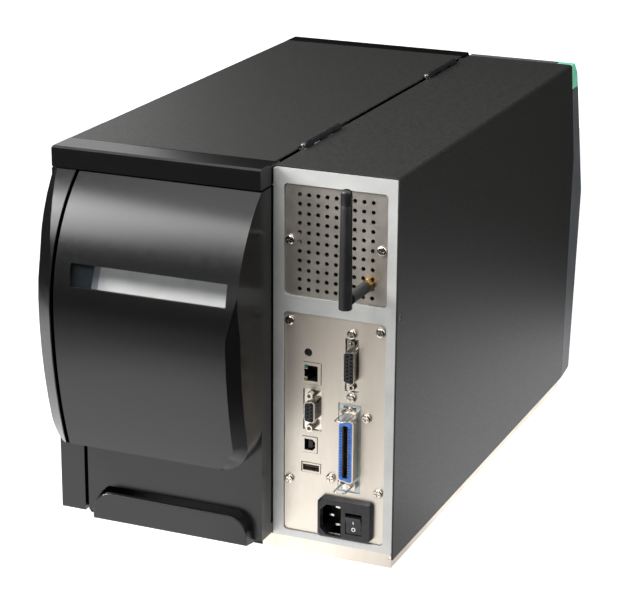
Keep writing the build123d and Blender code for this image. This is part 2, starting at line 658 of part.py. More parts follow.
def dee_port(centre, size, length, screws, jackscrew_r, jackscrew_rise, board_face):
    """D shell port: flange, hollow shell, black insert behind the shell's mouth and body."""
    face = REAR_Y - PLATE_RECESS - PLATE_SHEET
    x, z = centre
    flange = block(x - size[0] / 2, x + size[0] / 2, face - 1, face, z - size[1] / 2, z + size[1] / 2)
    shell_rise = PLATE_RECESS + PLATE_SHEET + 4.4
    plane = port_plane(centre, face)
    shell = extrude(plane * dee(length, 8.3, 2.2), amount=shell_rise)
    shell -= extrude(plane * dee(length - 1.0, 7.3, 1.8), amount=shell_rise + 1)
    insert = extrude(plane * dee(length - 1.2, 7.1, 1.7), amount=shell_rise - 0.6)
    body = block(board_face, x - size[0] / 2 + 1.5, face - 12, face - 1, z - length / 2, z + length / 2)
    posts = Part()
    for side in (-1, 1):
        spot = z + side * screws / 2
        if jackscrew_rise:
            hexagon = Plane(origin=(x, face, spot), z_dir=(0, 1, 0)) * RegularPolygon(jackscrew_r, 6)
            post = extrude(hexagon, amount=jackscrew_rise)
            posts += post - rod_y(face + 1, face + jackscrew_rise + 1, x, spot, 1.5)
        else:
            flange -= rod_y(face - 5, face + 5, x, spot, 1.7)
    return flange + body + posts + shell + insert


def serial_port():
    return dee_port(SERIAL, SERIAL_SIZE, 16.9, SERIAL_SCREWS, 2.9, 7.4, BOARD_X - BOARD_SHEET)


def applicator_port():
    return dee_port(APPLICATOR, APPLICATOR_SIZE, 25.2, APPLICATOR_SCREWS, 2.9, 0.0, OPTION_X - BOARD_SHEET)


def ethernet_jack():
    """Shielded network jack on its side, with the latch groove towards the board."""
    x, z = JACK
    half_x, half_z = JACK_SIZE[0] / 2, JACK_SIZE[1] / 2
    mouth = REAR_Y - PLATE_RECESS + MOUTH_RISE
    body = block(BOARD_X - BOARD_SHEET, x - half_x, mouth - 21, mouth, z - half_z, z + half_z)
    body -= block(x - 4.4, x + 3.4, mouth - 13, mouth + 1, z - 5.9, z + 5.9)
    body -= block(x + 3.4, x + 5.9, mouth - 13, mouth + 1, z - 3.1, z + 3.1)
    return body


def usb_device_socket():
    """Square peripheral socket with two cut corners."""
    x, z = DEVICE_USB
    half_x, half_z = DEVICE_USB_SIZE[0] / 2, DEVICE_USB_SIZE[1] / 2
    mouth = REAR_Y - PLATE_RECESS + MOUTH_RISE
    body = block(BOARD_X - BOARD_SHEET, x - half_x, mouth - 16, mouth, z - half_z, z + half_z)
    outline = [(x + 4.2, z + 4.3), (x - 2.0, z + 4.3), (x - 4.2, z + 2.2),
               (x - 4.2, z - 2.2), (x - 2.0, z - 4.3), (x + 4.2, z - 4.3)]
    body -= slab_y(outline, mouth - 9, mouth + 1)
    return body + block(x - 1.6, x + 1.6, mouth - 10, mouth - 1.5, z - 2.8, z + 2.8)


def usb_host_socket():
    """Flat host socket with its tongue."""
    x, z = HOST_USB
    half_x, half_z = HOST_USB_SIZE[0] / 2, HOST_USB_SIZE[1] / 2
    mouth = REAR_Y - PLATE_RECESS + MOUTH_RISE
    body = block(BOARD_X - BOARD_SHEET, x - half_x, mouth - 14, mouth, z - half_z, z + half_z)
    body -= block(x - 6.4, x + 6.4, mouth - 10, mouth + 1, z - 2.4, z + 2.4)
    return body + block(x - 5.6, x + 5.6, mouth - 11, mouth - 1.5, z + 0.2, z + 1.7)


def usb_sockets():
    return Compound(children=[usb_device_socket(), usb_host_socket()])


def parallel_port_shell():
    """Flanged metal shell of the parallel port with ears for its wire clips."""
    x, z = PARALLEL
    half_x, half_z = PARALLEL_SIZE[0] / 2, PARALLEL_SIZE[1] / 2
    face = REAR_Y - PLATE_RECESS - 0.6
    flange = block(x - half_x, x + half_x, face - 1, face, z - half_z, z + half_z)
    for side in (-1, 1):
        flange -= rod_y(face - 5, face + 5, x, z + side * PARALLEL_SCREWS / 2, 1.6)
    shell = extrude(port_plane(PARALLEL, face) * dee(50.0, 12.6, 3.0, 12.0), amount=8.4)
    shell -= extrude(port_plane(PARALLEL, face) * dee(47.4, 10.0, 2.0, 12.0), amount=9)
    ears = Part()
    for side in (-1, 1):
        spot = z + side * 27.4
        for end in (-1, 1):
            ears += block(x + end * 5.0, x + end * 6.6, face, face + 4.6, spot - 2.0, spot + 2.0)
        ears -= rod_x(x - 8, x + 8, face + 2.6, spot, 0.75)
    body = block(OPTION_X - BOARD_SHEET, x - 6.0, face - 12, face - 1, z - 25.0, z + 25.0)
    return flange + shell + ears + body


def parallel_port_insert():
    """Blue insert with the slot that holds the two contact rows."""
    face = REAR_Y - PLATE_RECESS - 0.6
    rise = 8.8
    insert = extrude(port_plane(PARALLEL, face) * dee(47.4, 10.0, 2.0, 12.0), amount=rise)
    x, z = PARALLEL
    insert -= block(x - 1.95, x + 1.95, face + 1.5, face + rise + 1, z - 20.3, z + 20.3)
    return insert


def port_bail(side):
    """Wire clip that pivots in the ears at one end of the parallel port."""
    wire_r = 0.55
    face = REAR_Y - PLATE_RECESS - 0.6
    x, z = PARALLEL[0], PARALLEL[1] + side * 27.4
    y0 = face + 2.6
    half, reach = 4.4, 17.0
    turn = 2.4
    left = rod_y(y0, y0 + reach - turn, x - half, z, wire_r)
    right = rod_y(y0, y0 + reach - turn, x + half, z, wire_r)
    tip = rod_x(x - half + turn, x + half - turn, y0 + reach, z, wire_r)
    corners = Part()
    for end in (-1, 1):
        plane = Plane(origin=(x + end * half, y0 + reach - turn, z), z_dir=(0, 1, 0))
        pivot = Axis((x + end * (half - turn), y0 + reach - turn, z), (0, 0, end))
        corners += revolve(plane * Circle(wire_r), axis=pivot, revolution_arc=90)
    feet = rod_x(x - half - 3.0, x - half, y0, z, wire_r) + rod_x(x + half, x + half + 3.0, y0, z, wire_r)
    elbows = Pos(x - half, y0, z) * Sphere(wire_r) + Pos(x + half, y0, z) * Sphere(wire_r)
    return left + right + tip + corners + feet + elbows


def reset_button():
    """Small recessed button behind its hole in the connector plate."""
    tip = REAR_Y - PLATE_RECESS - RESET_DEPTH
    stem = rod_y(tip - 8, tip, RESET[0], RESET[1], RESET_R)
    return fillet(stem.edges().group_by(Axis.Y)[-1], 0.4)


def reset_switch():
    """Switch case on the main board that the reset button slides into."""
    tip = REAR_Y - PLATE_RECESS - RESET_DEPTH
    x, z = RESET
    case = block(BOARD_X - BOARD_SHEET, x - 4.0, tip - 16, tip - 3.2, z - 3.6, z + 3.6)
    return case - rod_y(tip - 10.0, tip + 1, x, z, RESET_R + SLIDE_GAP)


# Mains inlet

def power_inlet():
    """Black inlet module: a bevelled face with the mains socket and a well for the rocker."""
    face = REAR_Y - PLATE_RECESS
    cut = 4.4
    outline = [(INLET_X0, INLET_Z0 + cut), (INLET_X0 + cut, INLET_Z0), (INLET_X1 - cut / 2, INLET_Z0),
               (INLET_X1, INLET_Z0 + cut / 2), (INLET_X1, INLET_Z1 - cut), (INLET_X1 - cut, INLET_Z1),
               (INLET_X0 + cut / 2, INLET_Z1), (INLET_X0, INLET_Z1 - cut / 2)]
    bezel = slab_y(outline, face, face + INLET_DEPTH)
    bezel = chamfer(bezel.edges().group_by(Axis.Y)[-1], 1.6)
    rim = 2.4 + SEAT_GAP
    body = block(INLET_X0 + rim, INLET_X1 - rim, face - INLET_BODY, face, INLET_Z0 + rim, INLET_Z1 - rim)
    module = bezel + body
    cut_x = SOCKET_X1 - SOCKET_CUT
    socket = [(SOCKET_X0, SOCKET_Z0), (cut_x, SOCKET_Z0), (SOCKET_X1, SOCKET_Z0 + SOCKET_CUT),
              (SOCKET_X1, SOCKET_Z1 - SOCKET_CUT), (cut_x, SOCKET_Z1), (SOCKET_X0, SOCKET_Z1)]
    module -= slab_y(socket, face - 17, face + INLET_DEPTH + 1)
    well = SLIDE_GAP
    module -= block(ROCKER_X0 - well, ROCKER_X1 + well, face - 8, face + INLET_DEPTH + 1,
                    ROCKER_Z0 - well, ROCKER_Z1 + well)
    bore = ROCKER_PIN + SLIDE_GAP
    module -= rod_x(ROCKER_X0 - bore, ROCKER_X1 + bore, *rocker_axis(), ROCKER_PIN_R + RUN_GAP)
    return module


def rocker_axis():
    """Pivot of the power rocker as (y, z)."""
    return REAR_Y - PLATE_RECESS - 1.2, (ROCKER_Z0 + ROCKER_Z1) / 2


def power_switch():
    """Two-faced rocker in its off position, its upper end standing proud."""
    pivot_y, pivot_z = rocker_axis()
    half = (ROCKER_Z1 - ROCKER_Z0) / 2 - 1.0
    crown, waist = 6.2, 5.0
    outline = [(pivot_y + crown, half), (pivot_y + waist, 0), (pivot_y + crown, -half),
               (pivot_y - 1.6, -half * 0.8), (pivot_y - 3.2, 0), (pivot_y - 1.6, half * 0.8)]
    points = [(y, pivot_z + z) for y, z in outline]
    rocker = slab_x(points, ROCKER_X0, ROCKER_X1)
    rocker += rod_x(ROCKER_X0 - ROCKER_PIN, ROCKER_X1 + ROCKER_PIN, pivot_y, pivot_z, ROCKER_PIN_R)
    return rocker.rotate(Axis((0, pivot_y, pivot_z), (1, 0, 0)), -ROCKER_TILT)


# Antenna

def antenna_socket():
    """Gold bulkhead connector with its nut on the vent plate."""
    face = REAR_Y - PLATE_RECESS
    barrel = rod_y(face - 8, face + 9, ANT_X, ANT_Z, 3.1)
    plane = Plane(origin=(ANT_X, face, ANT_Z), z_dir=(0, 1, 0))
    nut = extrude(plane * RegularPolygon(ANT_NUT / 2, 6, major_radius=False), amount=2.2)
    flange = rod_y(face - 8, face - PLATE_SHEET, ANT_X, ANT_Z, 4.6)
    return barrel + nut + flange


def antenna_elbow():
    """Swivel arm: a gold coupling on the connector, a barrel and a tongue with the whip's pin."""
    face = REAR_Y - PLATE_RECESS
    start = face + 2.2 + SEAT_GAP
    swing = sqrt((ANT_Z - ANT_LOW_Z) ** 2 + ANT_LOW_R ** 2)
    barrel_end = ANT_WHIP_Y - swing - SEAT_GAP
    plane = Plane(origin=(ANT_X, start, ANT_Z), z_dir=(0, 1, 0))
    coupling = extrude(plane * RegularPolygon(ANT_HEX_R, 6), amount=ANT_HEX_LENGTH)
    coupling += rod_y(start + ANT_HEX_LENGTH - 1, barrel_end, ANT_X, ANT_Z, ANT_ARM_R)
    coupling -= rod_y(start - 1, face + 9 + SEAT_GAP, ANT_X, ANT_Z, 3.1 + RUN_GAP)
    half = ANT_TONGUE / 2
    tongue = block(ANT_X - half, ANT_X + half, barrel_end - 1, ANT_WHIP_Y,
                   ANT_Z - ANT_KNUCKLE_R, ANT_Z + ANT_KNUCKLE_R)
    tongue += rod_x(ANT_X - half, ANT_X + half, ANT_WHIP_Y, ANT_Z, ANT_KNUCKLE_R)
    pin = rod_x(ANT_X - ANT_LOW_R + 0.6, ANT_X + ANT_LOW_R - 0.6, ANT_WHIP_Y, ANT_Z, ANT_PIN_R)
    return coupling + tongue + pin


def antenna_whip():
    """Tapered whip with a rounded cap and a fork that straddles the elbow's tongue."""
    cap_z = ANT_TOP_Z - ANT_CAP
    low = Plane.XY.offset(ANT_LOW_Z) * Circle(ANT_LOW_R)
    high = Plane.XY.offset(cap_z) * Circle(ANT_TOP_R)
    mast = loft([low.face(), high.face()])
    mast += Pos(0, 0, cap_z + ANT_CAP / 2) * Cylinder(ANT_TOP_R, ANT_CAP)
    mast = fillet(mast.edges().group_by(Axis.Z)[-1], ANT_TOP_R * 0.75)
    mast = fillet(mast.edges().group_by(Axis.Z)[0], 1.0)
    whip = Pos(ANT_X, ANT_WHIP_Y, 0) * mast
    half = ANT_TONGUE / 2 + SLIDE_GAP
    reach = ANT_KNUCKLE_R + SLIDE_GAP
    slot = block(ANT_X - half, ANT_X + half, ANT_WHIP_Y - 2 * ANT_LOW_R, ANT_WHIP_Y,
                 ANT_LOW_Z - 1, ANT_Z + reach)
    slot += block(ANT_X - half, ANT_X + half, ANT_WHIP_Y, ANT_WHIP_Y + reach, ANT_LOW_Z - 1, ANT_Z)
    slot += rod_x(ANT_X - half, ANT_X + half, ANT_WHIP_Y, ANT_Z, reach)
    return whip - slot - rod_x(ANT_X - 9, ANT_X + 9, ANT_WHIP_Y, ANT_Z, ANT_PIN_R + RUN_GAP)


# Rear cover of the media bay

def bulge_solid(x0, x1, inset=0.0):
    """Bulge between two X planes: its two arcs, open below for a corner mask to trim."""
    top_z = REAR_TOP_Z - inset
    low_z = BULGE_FOOT_Z - 12
    base_y = REAR_PANEL_Y - MOULD - 2
    crest = (x0, BULGE_CREST_Y - inset, BULGE_CREST_Z)
    top = (x0, bulge_y(top_z, inset), top_z)
    low = (x0, bulge_y(low_z, inset), low_z)
    upper_mid = (x0, bulge_y((top_z + BULGE_CREST_Z) / 2, inset), (top_z + BULGE_CREST_Z) / 2)
    lower_mid = (x0, bulge_y((low_z + BULGE_CREST_Z) / 2, inset), (low_z + BULGE_CREST_Z) / 2)
    edges = [ThreePointArc(top, upper_mid, crest), ThreePointArc(crest, lower_mid, low)]
    rest = Polyline(low, (x0, base_y, low_z), (x0, base_y, top_z), top)
    return extrude(make_face(edges + rest.edges()), amount=x1 - x0, dir=(1, 0, 0))


def corner_face(y, corner_x, far_x, low_z, radius):
    """Face across Y with one rounded lower corner at corner_x."""
    inward = 1 if far_x > corner_x else -1
    bend = radius * (1 - sqrt(0.5))
    arc = ThreePointArc((corner_x, y, low_z + radius), (corner_x + inward * bend, y, low_z + bend),
                        (corner_x + inward * radius, y, low_z))
    top_z = REAR_TOP_Z + 40
    rest = Polyline((corner_x + inward * radius, y, low_z), (far_x, y, low_z), (far_x, y, top_z),
                    (corner_x, y, top_z), (corner_x, y, low_z + radius))
    return make_face(arc.edges() + rest.edges()).face()


def corner_mask(corner_x, far_x, root_r, inset=0.0):
    """Outline of the bulge from behind: a rounded lower corner over a sloping underside."""
    depth = bulge_y(BULGE_LOW_Z) - REAR_PANEL_Y
    climb = (BULGE_LOW_Z - BULGE_FOOT_Z) / depth
    tighten = (root_r - BULGE_CORNER_R) / depth
    faces = []
    for y in (REAR_PANEL_Y - MOULD - 4, BULGE_CREST_Y + 1):
        out = y - REAR_PANEL_Y
        faces.append(corner_face(y, corner_x, far_x, BULGE_FOOT_Z + climb * out + inset,
                                 root_r - tighten * out - inset))
    return loft(faces, ruled=True)


def bevel_section(origin, outward, size, depth, spread):
    """Triangle that cuts a bevel: depth along Y, size inwards, drawn at an outer corner."""
    x, y, z = origin
    out_x, out_z = outward
    across = size + spread
    points = [(x + 2 * out_x, y + spread, z + 2 * out_z),
              (x + 2 * out_x, y - depth - 2 * depth / size, z + 2 * out_z),
              (x - across * out_x, y + spread * depth / size, z - across * out_z)]
    return make_face(Polyline(*points, close=True)).face()


def facet_cutter():
    """Bevel along the bulge's edge beside the wall: it tapers out at the top and round the corner."""
    faces = []
    for z in (FACET_TOP_Z, 208.0, 198.0, FACET_FULL_Z, 170.0, 150.0, 135.0, 120.0):
        share = min(1.0, max(0.03, (FACET_TOP_Z - z) / (FACET_TOP_Z - FACET_FULL_Z)))
        size = FACET_SIZE * share
        faces.append(bevel_section((WALL_X1, bulge_y(z), z), (-1, 0), size, size, 3 * share))
    centre_x = WALL_X1 + BULGE_CORNER_R
    centre_z = BULGE_LOW_Z + BULGE_CORNER_R
    for angle in range(0, 91, 10):
        turn = radians(angle)
        share = max(0.06, min(1.0, (94 - angle) / 40))
        size = FACET_SIZE * share
        outward = (-cos(turn), -sin(turn))
        x = centre_x + BULGE_CORNER_R * outward[0]
        z = centre_z + BULGE_CORNER_R * outward[1]
        rear = bulge_y(z - size * outward[1] * 0.5)
        faces.append(bevel_section((x, rear, z), outward, size, size, 3 * share))
    return loft(faces, ruled=True)


def strip_cutter():
    """Bevel that turns the media cover's corner strip into a slanting band."""
    faces = []
    for z in (STRIP_BEVEL_TOP, 278.0, 266.0, 254.0, 242.0, STRIP_BEVEL_FULL, 206.0, 190.0, 170.0, 150.0,
              130.0, 110.0, 90.0, BULGE_FOOT_Z - 14):
        share = min(1.0, max(0.05, (STRIP_BEVEL_TOP - z) / (STRIP_BEVEL_TOP - STRIP_BEVEL_FULL)))
        share = share ** 0.6
        faces.append(bevel_section((HALF_WIDTH, bulge_y(z), z), (1, 0), STRIP_BEVEL_X * share,
                                   STRIP_BEVEL_Y * share, 0.6))
    return loft(faces, ruled=True)


def rear_cover():
    """Moulded rear cover: flat panel, bulge with a window, bevelled edge and fan-fold feed slot."""
    x0, x1 = WALL_X1, FIXED_EDGE_X
    panel = block(x0, x1, REAR_Y - 2, REAR_PANEL_Y, REAR_LOW_Z, REAR_TOP_Z)
    bulge = bulge_solid(x0, x1) & corner_mask(x0, x1 + 30, BULGE_ROOT_R)
    bulge -= facet_cutter()
    outer = panel + bulge
    wall = MOULD
    hollow = block(x0 + wall, x1 - wall, REAR_Y - 3, REAR_PANEL_Y - wall,
                   REAR_LOW_Z + wall, REAR_TOP_Z - wall)
    deep = bulge_solid(x0 + wall, x1 - wall, wall)
    deep &= corner_mask(x0 + wall, x1 + 30, BULGE_ROOT_R, wall)
    bevel = Pos(wall * 0.7, -wall * 0.7, wall * 0.3) * facet_cutter()
    cover = outer - hollow - (deep - bevel)
    cover -= block(x0 - 1, x0 + 1.0, REAR_Y + 0.1, REAR_Y + 4.0, REAR_LOW_Z + 8, REAR_TOP_Z + 1)
    cover -= block(WINDOW_X0, WINDOW_X1, REAR_PANEL_Y + 8, BULGE_CREST_Y + 5, WINDOW_Z0, WINDOW_Z1)
    wing_gap = ARM_FLANGE_R + 6
    for z0, z1 in ((REAR_LOW_Z + 10, ROLL_Z - wing_gap), (ROLL_Z + wing_gap, REAR_TOP_Z - 10)):
        cover += block(x0, x0 + wall, REAR_Y - 14, REAR_Y - 2, z0, z1)
    return cover - slot_cut() + fan_lip()


def lip_face(y, grow):
    """Lip's outline across Y: square below, rounded above, grown by a draft."""
    x0, x1, top_z = LIP_X0 - grow, LIP_X1 + grow, LIP_TOP_Z + grow
    radius = LIP_R + grow
    bend = radius * (1 - sqrt(0.5))
    left = ThreePointArc((x0, y, top_z - radius), (x0 + bend, y, top_z - bend), (x0 + radius, y, top_z))
    right = ThreePointArc((x1 - radius, y, top_z), (x1 - bend, y, top_z - bend), (x1, y, top_z - radius))
    top = Line((x0 + radius, y, top_z), (x1 - radius, y, top_z))
    rest = Polyline((x1, y, top_z - radius), (x1, y, LIP_LOW_Z), (x0, y, LIP_LOW_Z), (x0, y, top_z - radius))
    return make_face(left.edges() + top.edges() + right.edges() + rest.edges()).face()


def fan_lip():
    """Drafted lip in front of the feed slot, open at the top, with rounded shoulders."""
    y0, y1 = REAR_PANEL_Y - MOULD, REAR_PANEL_Y + LIP_DEPTH
    lip = loft([lip_face(REAR_PANEL_Y - 0.5, LIP_DRAFT), lip_face(y1, 0)], ruled=True)
    lip = fillet(lip.edges().group_by(Axis.Y)[-1], 0.8)
    floor_z = LIP_LOW_Z + LIP_WALL
    inner = block(LIP_X0 + LIP_WALL, LIP_X1 - LIP_WALL, y0 - 1, y1 - LIP_WALL, floor_z, LIP_TOP_Z - LIP_WALL)
    inner = fillet(inner.edges().filter_by(Axis.Y).group_by(Axis.Z)[-1], LIP_R - LIP_WALL)
    throat = block(SLOT_X0, SLOT_X1, y0 - 1, y1 - LIP_WALL, LIP_TOP_Z - LIP_R, LIP_TOP_Z + LIP_DRAFT + 1)
    return lip - inner - throat


def slot_cut():
    """Opening of the fan-fold slot through the flat panel, with round upper corners."""
    cut = block(SLOT_X0, SLOT_X1, REAR_PANEL_Y - 2 * MOULD, REAR_PANEL_Y, LIP_LOW_Z + LIP_WALL,
                LIP_TOP_Z + LIP_DRAFT)
    return fillet(cut.edges().filter_by(Axis.Y).group_by(Axis.Z)[-1], SLOT_R)


def rear_window():
    """Curved clear pane behind the window in the bulge."""
    lap = 3.0
    inset = MOULD + 0.05
    pane = bulge_solid(WINDOW_X0 - lap, WINDOW_X1 + lap, inset)
    pane -= bulge_solid(WINDOW_X0 - lap - 1, WINDOW_X1 + lap + 1, inset + WINDOW_SHEET)
    keep = block(WINDOW_X0 - lap, WINDOW_X1 + lap, REAR_PANEL_Y + 12, BULGE_CREST_Y,
                 WINDOW_Z0 - lap, WINDOW_Z1 + lap)
    return pane & keep


# Media cover

def lid_shell():
    """Folded steel sheet of the media cover: top and side, with the side window."""
    outer = block(LID_SEAM_X, HALF_WIDTH, LID_METAL_FRONT, LID_METAL_REAR, LID_LOW_Z, LID_TOP_Z)
    corner = outer.edges().filter_by(Axis.Y).group_by(Axis.Z)[-1].sort_by(Axis.X)[-1]
    outer = fillet(corner, COVER_BEND_R)
    inner = block(LID_SEAM_X - 1, HALF_WIDTH - SHEET, LID_METAL_FRONT - 1, LID_METAL_REAR + 1,
                  LID_LOW_Z - 1, LID_TOP_Z - SHEET)
    shell = outer - inner
    y0, y1, z0, z1 = SIDE_WINDOW
    shell -= plate_x(y0, y1, z0, z1, HALF_WIDTH - 5, HALF_WIDTH + 5, SIDE_WINDOW_R)
    for y in HINGE_REAR_ENDS:
        shell -= hinge_notch(y)
    middle = (LID_METAL_FRONT + LID_METAL_REAR) / 2
    grip = block(HALF_WIDTH - 14, HALF_WIDTH - SHEET, middle - GRIP_LENGTH / 2, middle + GRIP_LENGTH / 2,
                 GRIP_Z, GRIP_Z + SHEET)
    return shell + grip


def side_window():
    """Clear pane on the inside of the side sheet."""
    y0, y1, z0, z1 = SIDE_WINDOW
    lap = 8.0
    x1 = HALF_WIDTH - SHEET
    return plate_x(y0 - lap, y1 + lap, z0 - lap, z1 + lap, x1 - SIDE_PANE, x1, SIDE_WINDOW_R)


def cap_band():
    """Top and rear lip of the rear cap, with a tongue that laps under the sheet."""
    rear, low = CAP_REAR_Y, CAP_LOW_Z
    start = LID_METAL_REAR + SEAT_GAP
    top = LID_TOP_Z - SHEET
    outline = [(start, LID_TOP_Z), (start + 3, CAP_CROWN_Z), (rear - 1.4, LID_TOP_Z - 0.2),
               (rear, LID_TOP_Z - 1.6), (rear, low), (rear - MOULD, low), (rear - MOULD, top - MOULD),
               (start, top - MOULD)]
    tongue = block(LID_SEAM_X, HALF_WIDTH - SHEET, start - CAP_LAP, start, top - MOULD, top)
    return slab_x(outline, LID_SEAM_X, HALF_WIDTH) + tongue


def strip_solid(x1, inset):
    """Corner strip of the media cover, bevelled from the bulge's face into the side."""
    x0 = DOOR_STRIP_X - (2 if inset else 0)
    bevel = strip_cutter()
    if inset:
        bevel = Pos(-inset * 0.7, -inset * 0.7, 0) * bevel
    bulge = bulge_solid(x0, x1, inset) - bevel
    bulge &= corner_mask(x1, x0 - 30, BULGE_CORNER_R, inset)
    return bulge + block(x0, x1, LID_METAL_REAR + SEAT_GAP, REAR_PANEL_Y - inset,
                         LID_LOW_Z, REAR_TOP_Z - inset)


def cover_envelope():
    """Space inside the media cover's rounded long edge, used to trim its two caps."""
    space = block(LID_SEAM_X - 5, HALF_WIDTH, BEZEL_TIP[0] - 48, BULGE_CREST_Y + 5, 0, CAP_CROWN_Z)
    long_edge = space.edges().filter_by(Axis.Y).group_by(Axis.Z)[-1].sort_by(Axis.X)[-1]
    return fillet(long_edge, COVER_BEND_R + 0.3)


def lid_rear_cap():
    """Rear cap of the media cover: the band under the top's edge and the corner strip below it."""
    band = cap_band()
    start = LID_METAL_REAR + SEAT_GAP
    end_profile = [(start, LID_TOP_Z), (start + 3, CAP_CROWN_Z), (CAP_REAR_Y - 1.4, LID_TOP_Z - 0.2),
                   (CAP_REAR_Y, LID_TOP_Z - 1.6), (CAP_REAR_Y, CAP_LOW_Z), (start, CAP_LOW_Z)]
    end_wall = slab_x(end_profile, LID_SEAM_X, LID_SEAM_X + MOULD)
    side_wall = slab_x(end_profile, HALF_WIDTH - MOULD, HALF_WIDTH)
    strip = strip_solid(HALF_WIDTH, 0.0)
    core = strip_solid(HALF_WIDTH - MOULD, MOULD)
    core += block(DOOR_STRIP_X - 2, HALF_WIDTH - MOULD, LID_METAL_REAR, REAR_PANEL_Y - MOULD,
                  LID_LOW_Z - 1, CAP_LOW_Z + 2)
    strip -= core
    foot = block(DOOR_STRIP_X, HALF_WIDTH, start, REAR_PANEL_Y, LID_LOW_Z, LID_LOW_Z + MOULD)
    crown = block(DOOR_STRIP_X, HALF_WIDTH, LID_METAL_REAR + SEAT_GAP, bulge_y(REAR_TOP_Z) - 2,
                  REAR_TOP_Z - MOULD, CAP_LOW_Z + 2)
    side_lap = block(HALF_WIDTH - SHEET - MOULD, HALF_WIDTH - SHEET, start - CAP_LAP, start + 3,
                     LID_LOW_Z + 4, LID_TOP_Z - SHEET - MOULD)
    return (band + end_wall + side_wall + strip + foot + crown + side_lap) & cover_envelope()


def front_cap_outline():
    """Front cap's profile: the printer's V front, with a wall of its own."""
    start = LID_METAL_FRONT - SEAT_GAP
    low_y = front_y(FRONT_CAP_LOW_Z)
    wall = BEZEL_WALL
    outer = [(start, LID_TOP_Z), (start - 3, CAP_CROWN_Z), (BEZEL_CROWN[0] + 2, CAP_CROWN_Z), BEZEL_BROW,
             BEZEL_TIP, (low_y, FRONT_CAP_LOW_Z)]
    top = LID_TOP_Z - SHEET
    inner = [(low_y + wall, FRONT_CAP_LOW_Z), (BEZEL_TIP[0] + wall, BEZEL_TIP[1]),
             (BEZEL_BROW[0] + wall, BEZEL_BROW[1] - 1), (BEZEL_CROWN[0] + 2, top - wall), (start, top - wall)]
    return outer + inner


def lid_front_cap():
    """Front cap of the media cover with a corner strip that reaches down to the base."""
    cap = slab_x(front_cap_outline(), LID_SEAM_X, HALF_WIDTH)
    start = LID_METAL_FRONT - SEAT_GAP
    under = LID_TOP_Z - SHEET
    cap += block(LID_SEAM_X, HALF_WIDTH - SHEET, start, start + CAP_LAP, under - BEZEL_WALL, under)
    chin_y = front_y(LID_LOW_Z)
    low_y = front_y(FRONT_CAP_LOW_Z)
    side = [(start, LID_TOP_Z), (BEZEL_CROWN[0] + 2, CAP_CROWN_Z - 0.5), BEZEL_BROW, BEZEL_TIP,
            (chin_y, LID_LOW_Z), (start, LID_LOW_Z)]
    cap += slab_x(side, HALF_WIDTH - MOULD, HALF_WIDTH)
    strip = [(low_y, FRONT_CAP_LOW_Z + 0.5), (chin_y, LID_LOW_Z), (chin_y + BEZEL_WALL, LID_LOW_Z),
             (low_y + BEZEL_WALL, FRONT_CAP_LOW_Z + 0.5)]
    cap += slab_x(strip, FRONT_STRIP_X, HALF_WIDTH)
    end = [(start, LID_TOP_Z), (BEZEL_CROWN[0] + 2, CAP_CROWN_Z - 0.5), BEZEL_BROW, (-234.0, 240.0),
           (-222.0, 240.0), (start - 6, 280.0)]
    cap += slab_x(end, LID_SEAM_X, LID_SEAM_X + MOULD)
    side_lap = block(HALF_WIDTH - SHEET - MOULD, HALF_WIDTH - SHEET, start - 3, start + CAP_LAP,
                     LID_LOW_Z + 4, LID_TOP_Z - SHEET - BEZEL_WALL)
    cap += side_lap
    tip = [edge for edge in cap.edges().filter_by(Axis.X)
           if abs(edge.center().Y - BEZEL_TIP[0]) < 0.01 and abs(edge.center().Z - BEZEL_TIP[1]) < 0.01]
    return fillet(tip, BEZEL_TIP_R) & cover_envelope()


def knuckle_spans():
    """Y spans of the hinge knuckles, base and cover in turn, from each hinge's rear end."""
    gap = 0.3
    length = HINGE_LENGTH / HINGE_KNUCKLES
    spans = []
    for rear in HINGE_REAR_ENDS:
        spans += [(rear - i * length - gap / 2, rear - (i + 1) * length + gap / 2, i % 2)
                  for i in range(HINGE_KNUCKLES)]
    return spans


def hinge_leaf_base():
    """Leaves under the electronics cover with the outer knuckles."""
    group = Part()
    leaf_top = FRAME_TOP
    for rear in HINGE_REAR_ENDS:
        leaf = block(SEAM_X - 1.4 - HINGE_LEAF, HINGE_X - HINGE_R + 0.9, rear - HINGE_LENGTH, rear,
                     leaf_top - HINGE_LEAF_SHEET, leaf_top)
        for y1, y0, kind in knuckle_spans():
            if kind == 0 and rear - HINGE_LENGTH <= y0 and y1 <= rear:
                knuckle = rod_y(y0, y1, HINGE_X, HINGE_Z, HINGE_R)
                neck = block(HINGE_X - HINGE_R, HINGE_X - HINGE_R + HINGE_NECK, y0, y1,
                             leaf_top - HINGE_LEAF_SHEET, HINGE_Z)
                leaf += knuckle + neck
        group += leaf - rod_y(rear - HINGE_LENGTH - 1, rear + 1, HINGE_X, HINGE_Z, HINGE_PIN_R)
    return group


